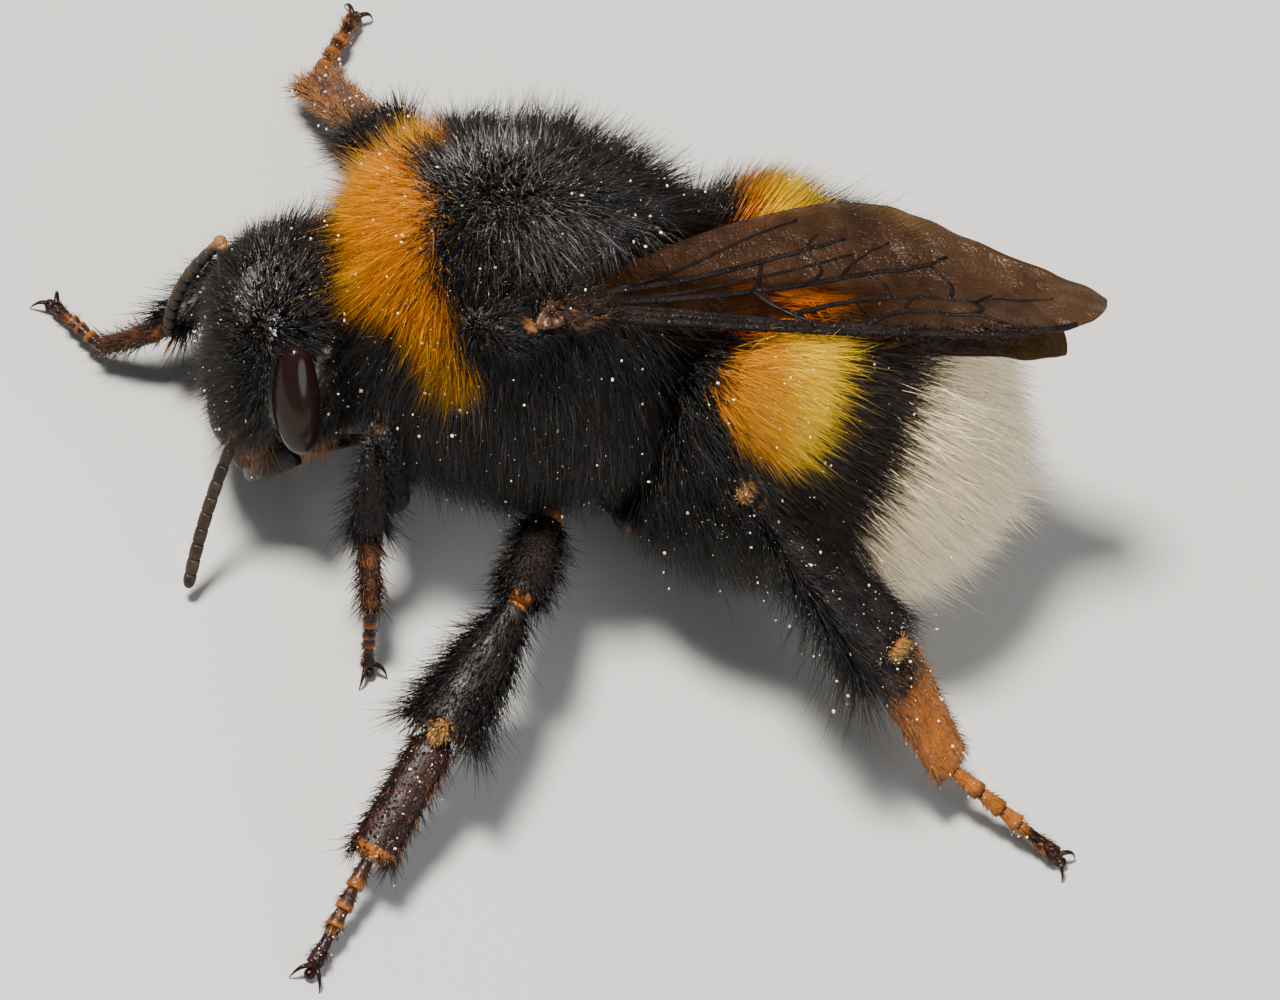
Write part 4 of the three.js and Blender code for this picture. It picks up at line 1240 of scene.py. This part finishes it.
def makeMouth():
    for side, hand in (("left", 1), ("right", -1)):
        mirror = Vector((hand, 1, 1))
        root, bend, tip = (Vector(jaws[k]) * mirror for k in ("root", "bend", "tip"))
        bm = bmesh.new()
        path = bezier(root, root.lerp(bend, 0.7), bend.lerp(tip, 0.3), tip, 14)
        share = [i / 13 for i in range(14)]
        broad = [jaws["half"] * (1 - 0.35 * t + 0.25 * smooth(0.6, 0.9, t))
                 * (1 - 0.75 * smooth(0.92, 1.0, t)) for t in share]
        sweep(bm, path, broad, [0.55 * b for b in broad], (0, 0.3, 1), 16)
        amber = []
        for v in bm.verts:
            far = (v.co - root).length / (tip - root).length
            amber.append(0.5 * float(smooth(0.5, 0.8, far)))
        addShell(f"mandible_{side}_blade", bm, skullPlace, amber, faceShell, [f"mandible_{side}"])
    bm = bmesh.new()
    for offset in (-0.17, 0.17):
        start = Vector(tongue["root"]) + Vector((offset, 0, 0))
        end = Vector(tongue["tip"]) + Vector((offset * 0.4, 0, 0))
        path = bezier(start, start + Vector((0, 0.4, -0.18)), end - Vector((0, 0.6, 0.1)), end, 12)
        wide = [tongue["half"] * 0.62 * (1 - 0.6 * (i / 11) ** 2) for i in range(12)]
        sweep(bm, path, wide, [0.8 * w for w in wide], (1, 0, 0), 12)
    addShell("proboscis_sheath", bm, skullPlace, 0.1, faceShell, ["proboscis"])


makeMouth()

# antennae
antennae = {
    "scapeHalf": 0.135, "lashHalf": 0.16, "rings": 10,
    "left": {"elbow": (1.8, -0.87, -1.17), "tip": (2.24, -2.4, -5.4), "bulge": (0.1, -0.25, 0)},
    "right": {"elbow": (-1.25, -0.8, 2.25), "tip": (-2.75, -2.2, -1.35), "bulge": (-0.3, -0.6, 0)},
}


def makeAntenna(side, hand):
    part = antennae[side]
    socket = Vector(horns["socket"]) * Vector((hand, 1, 1))
    elbow, tip, bulge = Vector(part["elbow"]), Vector(part["tip"]), Vector(part["bulge"])
    half = antennae["scapeHalf"]
    bm = bmesh.new()
    bow = (elbow - socket).cross(Vector((0, 0, 1))).normalized() * 0.12
    path = bezier(socket, socket.lerp(elbow, 0.33) + bow, socket.lerp(elbow, 0.66) + bow, elbow, 18)
    share = [i / 17 for i in range(18)]
    girth = [half * (0.75 + 0.35 * smooth(0, 0.2, t)) * (1 - 0.35 * smooth(0.9, 1, t)) for t in share]
    sweep(bm, path, girth, girth, (1, 0, 0.2), 14)
    ellipsoid(bm, socket, (0.5, 0.3, 0.5), None, 12, 18)
    reach = (elbow - socket).length
    amber = [0.95 * float(smooth(0.82, 0.97, (v.co - socket).length / reach)) for v in bm.verts]
    addShell(f"scape_{side}_stem", bm, skullPlace, amber, hornShell, [f"scape_{side}"])

    bm = bmesh.new()
    start = elbow + (tip - elbow).normalized() * 0.12
    ellipsoid(bm, elbow + (tip - elbow).normalized() * 0.08, (0.36, 0.36, 0.36), None, 12, 16)
    control = start.lerp(tip, 0.5) + bulge
    amber = [0.8] * len(bm.verts)
    count = antennae["rings"]
    for k in range(count):
        # each ring is a short barrel with a pale lip at both ends
        marks = (0, 0.05, 0.16, 0.5, 0.84, 0.95, 1.0)
        if k == count - 1:
            marks = (0, 0.05, 0.16, 0.4, 0.65, 0.85, 0.95, 1.0)
        ts = [(k + 0.985 * m) / count for m in marks]
        path = [(1 - t) ** 2 * start + 2 * t * (1 - t) * control + t * t * tip for t in ts]
        fat = antennae["lashHalf"] * (0.86 + 0.14 * smooth(0, 3, k))
        girth = [fat * (0.80, 0.93, 1.0, 1.03, 1.0, 0.93, 0.80)[i] for i in range(7)] if k < count - 1 else [
            fat * g for g in (0.80, 0.93, 1.0, 1.0, 0.92, 0.7, 0.45, 0.2)]
        before = len(bm.verts)
        sweep(bm, path, girth, girth, (1, 0, 0.2), 14)
        bm.verts.ensure_lookup_table()
        for v in bm.verts[before:]:
            near = min((v.co - path[0]).length, (v.co - path[-1]).length)
            amber.append(0.75 if near < fat * 0.5 else 0.3)
    addShell(f"flagellum_{side}_rings", bm, skullPlace, amber, hornShell, [f"flagellum_{side}"])


for hornSide, hornHand in (("left", 1), ("right", -1)):
    makeAntenna(hornSide, hornHand)
print("head parts made")

# wing roots
tegula = {"at": (3.6, -1.05, 2.6), "length": 1.7, "width": 1.15, "height": 0.8}


def makeTegulae():
    for side, hand in (("left", 1), ("right", -1)):
        bm = bmesh.new()
        at = Vector(tegula["at"]) * Vector((hand, 1, 1)) - Vector((0, 0, 0.0 if hand > 0 else 0.3))
        ellipsoid(bm, at, (tegula["width"], tegula["length"], tegula["height"]), None, 20, 24)
        amber = [0.15 + 0.85 * float(smooth(at.y + 0.1, at.y + 0.7, v.co.y)) for v in bm.verts]
        # the small crumpled plates that carry the wing
        hinge = Vector(wings[f"forewing_{side}"]["at"])
        for k, (reach, half) in enumerate(((-0.1, 0.32), (0.2, 0.36), (0.5, 0.32), (0.85, 0.26))):
            slant = turn("Z", hand * (35 - 20 * k)) @ turn("X", 12 - 14 * k)
            made = ellipsoid(bm, hinge + Vector((hand * (0.42 - 0.16 * (k % 2)), reach, 0.04)),
                             (half * 2.0, half * 3.1, half * 1.1), slant, 24, 30)
            for v in made:
                x, y = v.co.x, v.co.y
                v.co.z += (0.05 * math.sin(15 * x + 5 * k) * math.cos(11 * y)
                           + 0.05 * math.sin(9 * y + 8 * x))
                v.co.x += 0.06 * math.sin(10 * y + 4 * k)
            amber += [0.5 if k % 2 == 0 else 0.25] * len(made)
        addShell(f"tegula_{side}_plates", bm, bodyPlace, amber, wingRootShell, [f"tegula_{side}"])


makeTegulae()


# hair over the tegulae, and copper down on the plates behind them
def growWingRoots():
    for name, coat, count, long, seed in (("coat_tegulae", "coatBlack", 1500, 0.75, 54),
                                          ("coat_wing_roots", "coatBrown", 500, 0.34, 55)):
        rng = np.random.default_rng(seed)
        parts = []
        for side, hand in (("left", 1), ("right", -1)):
            if name == "coat_tegulae":
                at = np.array(tegula["at"]) * (hand, 1, 1) - (0, 0, 0.0 if hand > 0 else 0.3)
                size = np.array((tegula["width"], tegula["length"], tegula["height"]))
            else:
                at = np.array(wings[f"forewing_{side}"]["at"]) + (hand * 0.3, 0.4, 0.1)
                size = np.array((0.8, 1.5, 0.5))
            each = int(count * thin)
            way = unit(rng.standard_normal((each, 3)) * (1, 1, 1) + (0, 0, 0.4))
            nearHinge = np.hypot(way[:, 1] - 0.25, way[:, 0] - 0.3 * hand) < 0.45
            way = np.where(nearHinge[:, None], (0, -1, 0.2), way)
            way = unit(way + 0.05 * rng.standard_normal((each, 3)))
            lie = np.tile((0.3 * hand, 1.0, -0.1), (each, 1))
            grid = np.stack([0.5 + 0.45 * hand * rng.random(each), rng.random(each)], -1)
            parts.append((moved(at + way * size / 2, bodyPlace), unit(way / size) @ rot(bodyPlace),
                          lie @ rot(bodyPlace), grid))
        points, normals, lie, grid = joined(parts)
        form = {"length": long, "rise": 0.35, "width": 0.026, "droop": 0.7, "wander": 0.2}
        growCoat(name, coats[coat], points, normals, lie, form, grid, rng, False)


growWingRoots()

# legs
partNames = ("hip", "femur", "tibia", "basitarsus", "tarsus")
# lengths of the five parts, then the shell's half widths at both ends and its flatness
pairs = {
    "front": {"lengths": (1.9, 3.0, 3.27, 1.87, 1.8),
              "shell": ((0.46, 0.36, 0.95), (0.30, 0.38, 0.9), (0.28, 0.42, 0.8), (0.29, 0.24, 0.7),
                        (0.17, 0.17, 0.85)),
              "hair": (0.55, 0.7, 0.6, 0.25)},
    "mid": {"lengths": (1.9, 3.6, 3.75, 3.5, 2.88),
            "shell": ((0.5, 0.38, 0.95), (0.42, 0.6, 0.85), (0.48, 0.86, 0.66), (0.5, 0.58, 0.5),
                      (0.2, 0.19, 0.85)),
            "hair": (0.65, 0.8, 0.75, 0.3)},
    "hind": {"lengths": (1.9, 4.4, 5.2, 3.75, 3.4),
             "shell": ((0.55, 0.42, 0.95), (0.45, 0.55, 0.75), (0.5, 1.1, 0.36), (0.86, 0.64, 0.34),
                       (0.22, 0.2, 0.85)),
             "hair": (0.6, 0.6, 0.8, 0.26)},
}
# where each hip leaves the thorax, then heading and rise of each part in degrees
legs = {
    "front_left": {"hip": (1.3, -2.7, -3.0),
                   "turns": ((89, -11), (-27, 70), (106, -70), (99, -36), (119, None))},
    "front_right": {"hip": (-1.3, -2.7, -3.0),
                    "turns": ((-53, -21), (-41, 20), (44, -25), (-8, -42), (-52, None))},
    "mid_left": {"hip": (1.7, -0.4, -3.3),
                 "turns": ((142, -6), (72, 16), (60, -23), (61, -27), (64, None))},
    "mid_right": {"hip": (-1.7, -0.4, -3.3),
                  "turns": ((-112, -26), (-52, 43), (-63, -21), (-70, -36), (-115, None))},
    "hind_left": {"hip": (1.7, 2.2, -3.0),
                  "turns": ((127, -20), (150, 55), (149, -33), (145, -45), (152, None))},
    "hind_right": {"hip": (-1.7, 2.2, -3.0),
                   "turns": ((-133, -32), (-137, 29), (140, -30), (-150, -12), (-120, None))},
}
footHeight = 0.34
shellGrid = {"steps": 26, "sides": 20, "lap": 0.03}        # lap is the gap left between two parts


def heading(degrees, rise):
    a, r = math.radians(degrees), math.radians(rise)
    return Vector((math.sin(a) * math.cos(r), -math.cos(a) * math.cos(r), math.sin(r)))


def legCourse(name):
    part = legs[name]
    lengths = pairs[name.split("_")[0]]["lengths"]
    at = bodyPlace @ Vector(part["hip"])
    course = []
    for length, (way, rise) in zip(lengths, part["turns"]):
        if rise is None:
            rise = math.degrees(math.asin((footHeight - at.z) / length))
        end = at + heading(way, rise) * length
        course.append((at.copy(), end.copy(), heading(way, 0)))
        at = end
    return course


# how the half width runs from one end of a part to the other
def girthOf(kind, t):
    if kind == "hip":
        return 1 - 0.28 * smooth(0.55, 0.66, t) * (1 - smooth(0.68, 0.8, t)) - 0.3 * smooth(0.9, 1.0, t)
    if kind == "femur":
        swell = 0.62 + 0.5 * np.sin(np.pi * np.clip(t * 0.95 + 0.03, 0, 1)) ** 0.8
        return swell * (1 - 0.3 * smooth(0.93, 1, t))
    if kind == "tibia":
        swell = (0.7 + 0.34 * smooth(0, 0.4, t)) * (1 - 0.35 * smooth(0.95, 1.0, t))
        return swell * (1 - 0.3 * (1 - smooth(0, 0.05, t)))
    return (0.7 + 0.32 * smooth(0, 0.14, t)) * (1 - 0.28 * smooth(0.93, 1.0, t))


def halfWidth(kind, shell, t):
    return (shell[0] + (shell[1] - shell[0]) * t) * girthOf(kind, t)


def amberOf(kind, t):
    # pale at the knees and at the joint below
    ends = {"hip": (0, 0.95), "femur": (0.7, 1.0), "tibia": (1.0, 0.9), "basitarsus": (0.9, 0.8)}[kind]
    return ends[0] * (1 - smooth(0.0, 0.09, t)) + ends[1] * smooth(0.93, 0.99, t)


def bristle(bm, root, way, length, half):
    tip = root + way * length
    taper = [half, half * 0.8, half * 0.12]
    sweep(bm, [root, root.lerp(tip, 0.5), tip], taper, taper, (0.3, 0.2, 1), 6)


# offset from the joint along, across and above the part, then the size of the pad
jointPads = {("mid_left", "hip"): ((0.12, -0.22, 0.3), (0.6, 0.55, 0.5)),
             ("mid_left", "tibia"): ((-0.05, 0, 0.42), (0.66, 0.48, 0.36)),
             ("hind_left", "femur"): ((-0.05, 0, 0.38), (0.4, 0.95, 0.35)),
             ("hind_left", "tibia"): ((-0.05, 0, 0.42), (0.3, 0.7, 0.2))}


def padPlace(name, kind):
    start, end, level = legCourse(name)[partNames.index(kind)]
    axis = (end - start).normalized()
    across = Vector((0, 0, 1)).cross(level)
    upward = axis.cross(across)
    upward = upward * (1 if upward.z > 0 else -1)
    place = Matrix((axis, across, upward)).transposed().to_4x4()
    place.translation = end + place @ Vector(jointPads[name, kind][0])
    return place


def makeLegs():
    for name in legs:
        pair = name.split("_")[0]
        shellSizes = pairs[pair]["shell"]
        course = legCourse(name)
        for i, kind in enumerate(partNames[:4]):
            start, end, level = course[i]
            across = Vector((0, 0, 1)).cross(level)
            shell = shellSizes[i]
            last, lap = shellGrid["steps"] - 1, shellGrid["lap"]
            share = [0.5 - 0.5 * math.cos(math.pi * k / last) for k in range(last + 1)]
            path = [start.lerp(end, lap / 2 + (1 - lap) * t) for t in share]
            broad = [float(halfWidth(kind, shell, t)) for t in share]
            bm = bmesh.new()
            sweep(bm, path, broad, [b * shell[2] for b in broad], across, shellGrid["sides"])
            amber = []
            for v in bm.verts:
                t = (v.co - start).dot(end - start) / (end - start).length_squared
                level0 = float(amberOf(kind, t)) * (0.55 if pair == "front" else 1.0)
                if kind == "basitarsus":
                    level0 = float(0.8 * smooth(0.84, 0.92, t)) if name == "mid_left" else max(level0, 0.5)
                    if pair == "hind":
                        level0 = float(0.25 + 0.7 * smooth(0.12, 0.45, t))
                amber.append(level0)
            if kind == "tibia":
                # spurs at the end of the shin
                axis = (end - start).normalized()
                for sign in (1, -1):
                    bristle(bm, end - axis * 0.15 + across * sign * broad[-4] * 0.6,
                            (axis - Vector((0, 0, 0.35)) + across * sign * 0.25).normalized(), 0.7, 0.05)
                amber += [1.0] * (len(bm.verts) - len(amber))
            if (name, kind) in jointPads:
                # a pale pad over the joint below
                made = ellipsoid(bm, (0, 0, 0), jointPads[name, kind][1], None, 14, 18)
                bmesh.ops.transform(bm, matrix=padPlace(name, kind), verts=made)
                amber += [0.95] * (len(bm.verts) - len(amber))
            brown = kind == "basitarsus"
            addShell(f"{kind}_{name}_shell", bm, None, amber, tarsusShell if brown else legShell,
                     [f"{kind}_{name}"])
        makeFoot(name, course[4], shellSizes[4])


footShares = (0.0, 0.27, 0.47, 0.63, 1.0)      # where the small joints of a foot begin
clawSize = {"reach": 0.6, "splay": 42, "half": 0.08}


def makeFoot(name, run, shell):
    start, end, level = run
    across = Vector((0, 0, 1)).cross(level)
    bm = bmesh.new()
    amber = []
    for k, (a, b) in enumerate(zip(footShares, footShares[1:])):
        last = k == 3
        marks = (0, 0.08, 0.3, 0.6, 0.85, 0.96, 1.0)
        fat = (0.68, 0.76, 0.84, 0.95, 1.1, 1.12, 0.8) if not last else (0.6, 0.66, 0.7, 0.82, 1.05, 1.1, 0.7)
        path = [start.lerp(end, a + (b - a) * m * 0.98) for m in marks]
        broad = [shell[0] * f for f in fat]
        before = len(bm.verts)
        sweep(bm, path, broad, [w * shell[2] for w in broad], across, 14)
        bm.verts.ensure_lookup_table()
        for v in bm.verts[before:]:
            t = (v.co - path[0]).dot(path[-1] - path[0]) / (path[-1] - path[0]).length_squared
            hind = name.startswith("hind")
            pale = (0.95 if hind else 0.48) + (-0.4 if hind else 0.3) * float(smooth(0.7, 0.9, t))
            amber.append(pale if not last else 0.75 - 0.65 * float(smooth(0.1, 0.5, t)))
    # two hooked claws and the pad between them, standing on the floor
    forward = level.normalized()
    for sign in (1, -1):
        out = (forward * math.cos(math.radians(clawSize["splay"]))
               + across * sign * math.sin(math.radians(clawSize["splay"])))
        root = end - forward * 0.05
        tip = root + out * clawSize["reach"]
        tip.z = 0.025
        knee = root + out * clawSize["reach"] * 0.75 + Vector((0, 0, 0.16))
        path = bezier(root, root + out * 0.25 + Vector((0, 0, 0.12)), knee, tip, 12)
        half = [clawSize["half"] * (1 - 0.85 * (i / 11) ** 1.5) for i in range(12)]
        sweep(bm, path, half, half, (0, 0, 1), 10)
        amber += [0.55 - 0.5 * i / 11 for i in range(12) for _ in range(10)]
    pad = ellipsoid(bm, end + forward * 0.14 - Vector((0, 0, 0.14)), (0.3, 0.3, 0.26), None, 10, 14)
    amber += [0.3] * len(pad)
    addShell(f"tarsus_{name}_foot", bm, None, amber, tarsusShell, [f"tarsus_{name}"])


makeLegs()


# hair of the legs: short over the shell, long along the edges of the shins
def growLegs(pair, material, seed, count, kinds, label, sides=("left", "right")):
    rng = np.random.default_rng(seed)
    parts = []
    slots = [(side, k) for side in sides for k in kinds]
    for slotIndex, (side, kind) in enumerate(slots):
        i = partNames.index(kind)
        start, end, level = legCourse(f"{pair}_{side}")[i]
        across = np.array(Vector((0, 0, 1)).cross(level))
        start, end = np.array(start), np.array(end)
        axis = unit(end - start)
        across = unit(across - axis * (across @ axis))
        deep = np.cross(axis, across)
        shell = pairs[pair]["shell"][i]
        length = np.linalg.norm(end - start)
        hair = pairs[pair]["hair"][i - 1] if i < 4 else 0.28

        def pointAt(u, v):
            v = np.clip(v, 0, 1)
            jointed = shell[0] * (0.75 + 0.3 * np.sin(4 * np.pi * v) ** 2)
            half = halfWidth(kind, shell, v) if i < 4 else jointed
            a = 2 * np.pi * u
            return (start + axis * (length * v)[..., None] + across * (half * np.cos(a))[..., None]
                    + deep * (half * shell[2] * np.sin(a))[..., None])

        def weight(p, u, v):
            edge = np.abs(np.cos(2 * np.pi * u))
            if kind == "tibia" and pair == "hind":
                # the pollen basket: bare in its middle, fringed along both edges
                return np.where(edge > 0.84, 1.0, 0.45) * (v < 0.99)
            bare = {"hip": (0.0, 0.72), "femur": (0.13, 0.97)}.get(kind, (0.03, 0.97))
            return (v > bare[0]) * (v < bare[1]) * (0.35 if kind == "basitarsus" and pair == "mid" else 1.0)

        share = int(count * thin * length * (shell[0] + shell[1]) / 12)
        u, v, points, normals, _ = spreadRoots(pointAt, share, weight, rng, (60, 60))
        middle = start + axis * (length * v)[:, None]
        normals = outward(normals, points, middle)
        lie = np.broadcast_to(axis, points.shape) + 0.15 * rng.standard_normal(points.shape)
        edge = np.abs(np.cos(2 * np.pi * u))
        longHair = {"tibia": 1.0, "femur": 0.75, "basitarsus": 0.45, "hip": 0.7, "tarsus": 0.4}[kind]
        size = hair * (0.62 + longHair * (0.45 + 0.5 * v) * edge ** 3)
        rise = 0.3 + 0.2 * edge ** 3
        if kind == "basitarsus" and pair == "mid":
            size = 0.22 + 0.3 * edge ** 3 + 0.2 * smooth(0.85, 0.95, v)
        if kind == "basitarsus" and pair == "hind":
            size = 0.26 + 0.12 * edge ** 3
            rise = rise - 0.1
        if kind == "tibia" and pair == "hind":
            inner = np.cos(2 * np.pi * u) * (1 if side == "left" else -1) > 0
            size = np.where(edge > 0.84, np.where(inner, 0.6 + 0.2 * v, 1.45 + 0.35 * v), 0.36)
            size = np.where(v > 0.93, np.maximum(size, 0.75), size)
            rise = np.where(edge > 0.84, np.where(inner, 0.3, 0.45), 0.26)
        # short flat tufts that stand for glints of light: painted glints
        if label == "glints":
            size = 0.13 + 0.1 * rng.random(share)
            rise = np.full(share, 0.12)
        cell = np.array([(slotIndex % 4) / 4, (slotIndex // 4) / 4])
        parts.append((points, normals, lie, size, rise, cell + np.stack([u, v], -1) * 0.24))
    points, normals, lie, size, rise, maps = joined(parts)
    form = {"length": size, "rise": rise, "width": 0.024 if label == "glints" else 0.028, "droop": 0.75,
            "wander": 0.14, "clump": 0.05}
    growCoat(f"coat_{pair}_{label}", material,
             points, normals, lie, form, maps, rng, False)


for legPair, legSeed, legCount in (("front", 41, 8000), ("mid", 43, 8500), ("hind", 45, 7000)):
    growLegs(legPair, coats["coatBlack"], legSeed, legCount, ("hip", "femur", "tibia"), "legs")
    feetCoat = coats[{"front": "coatBrown", "mid": "coatShin", "hind": "coatRust"}[legPair]]
    growLegs(legPair, feetCoat, legSeed + 1, legCount * 0.9, ("basitarsus", "tarsus"), "feet",
             ("left",) if legPair == "mid" else ("left", "right"))
growLegs("mid", coats["coatRust"], 47, 9500, ("basitarsus", "tarsus"), "feet_right", ("right",))
# near white bristles lying flat on the mid basitarsus and shins and on the hind shins: painted glints
growLegs("mid", coats["coatPaintedGlints"], 48, 3600, ("basitarsus", "tibia"), "glints")
growLegs("hind", coats["coatPaintedGlints"], 49, 2200, ("tibia",), "glints")


def growPads():
    rng = np.random.default_rng(56)
    parts = []
    for (name, kind), (_, size) in jointPads.items():
        if kind == "hip":
            continue
        each = int(500 * thin)
        way = unit(rng.standard_normal((each, 3)) + (0, 0, 0.5))
        place = padPlace(name, kind)
        size = np.array(size)
        lie = np.tile((1.0, 0.0, 0.0), (each, 1))
        parts.append((moved(way * size / 2, place), unit(way / size) @ rot(place), lie @ rot(place),
                      np.stack([len(parts) * 0.3 + 0.25 * rng.random(each), rng.random(each)], -1)))
    points, normals, lie, grid = joined(parts)
    form = {"length": 0.24, "rise": 0.45, "width": 0.026, "wander": 0.2}
    growCoat("coat_knee_pads", coats["coatGold"], points, normals, lie, form, grid, rng, False)


growPads()
print("legs made")


# dust and pollen on the coat; the pale grains on the legs are partly dust and partly painted glints
dust = {"count": 4600, "legDustAndGlints": 2000, "small": 0.008, "large": 0.045}


def scatterDust():
    rng = np.random.default_rng(61)
    bm = bmesh.new()
    bmesh.ops.create_icosphere(bm, subdivisions=1, radius=1)
    grain = np.array([tuple(v.co) for v in bm.verts])
    faces = np.array([[v.index for v in f.verts] for f in bm.faces])
    bm.free()
    onTrunk, legDustAndGlints = np.concatenate(tips[:13]), np.concatenate(tips[-7:])
    chosen = np.concatenate([onTrunk[rng.choice(len(onTrunk), dust["count"] - dust["legDustAndGlints"], replace=False)],
                             legDustAndGlints[rng.choice(len(legDustAndGlints), dust["legDustAndGlints"], replace=False)]])
    chosen[:, 2] = np.maximum(chosen[:, 2], 2 * dust["large"])
    size = dust["small"] + (dust["large"] - dust["small"]) * rng.random(dust["count"]) ** 5
    stretch = 0.6 + 0.8 * rng.random((dust["count"], 1, 3))
    verts = chosen[:, None] + grain[None] * size[:, None, None] * stretch
    triangles = (faces[None] + len(grain) * np.arange(dust["count"])[:, None, None]).reshape(-1, 3)
    mesh = meshFromArrays("dust_grains", verts.reshape(-1, 3), triangles)
    addPiece("dust_grains", mesh, dustMaterial(), ())


scatterDust()
print("dust scattered")
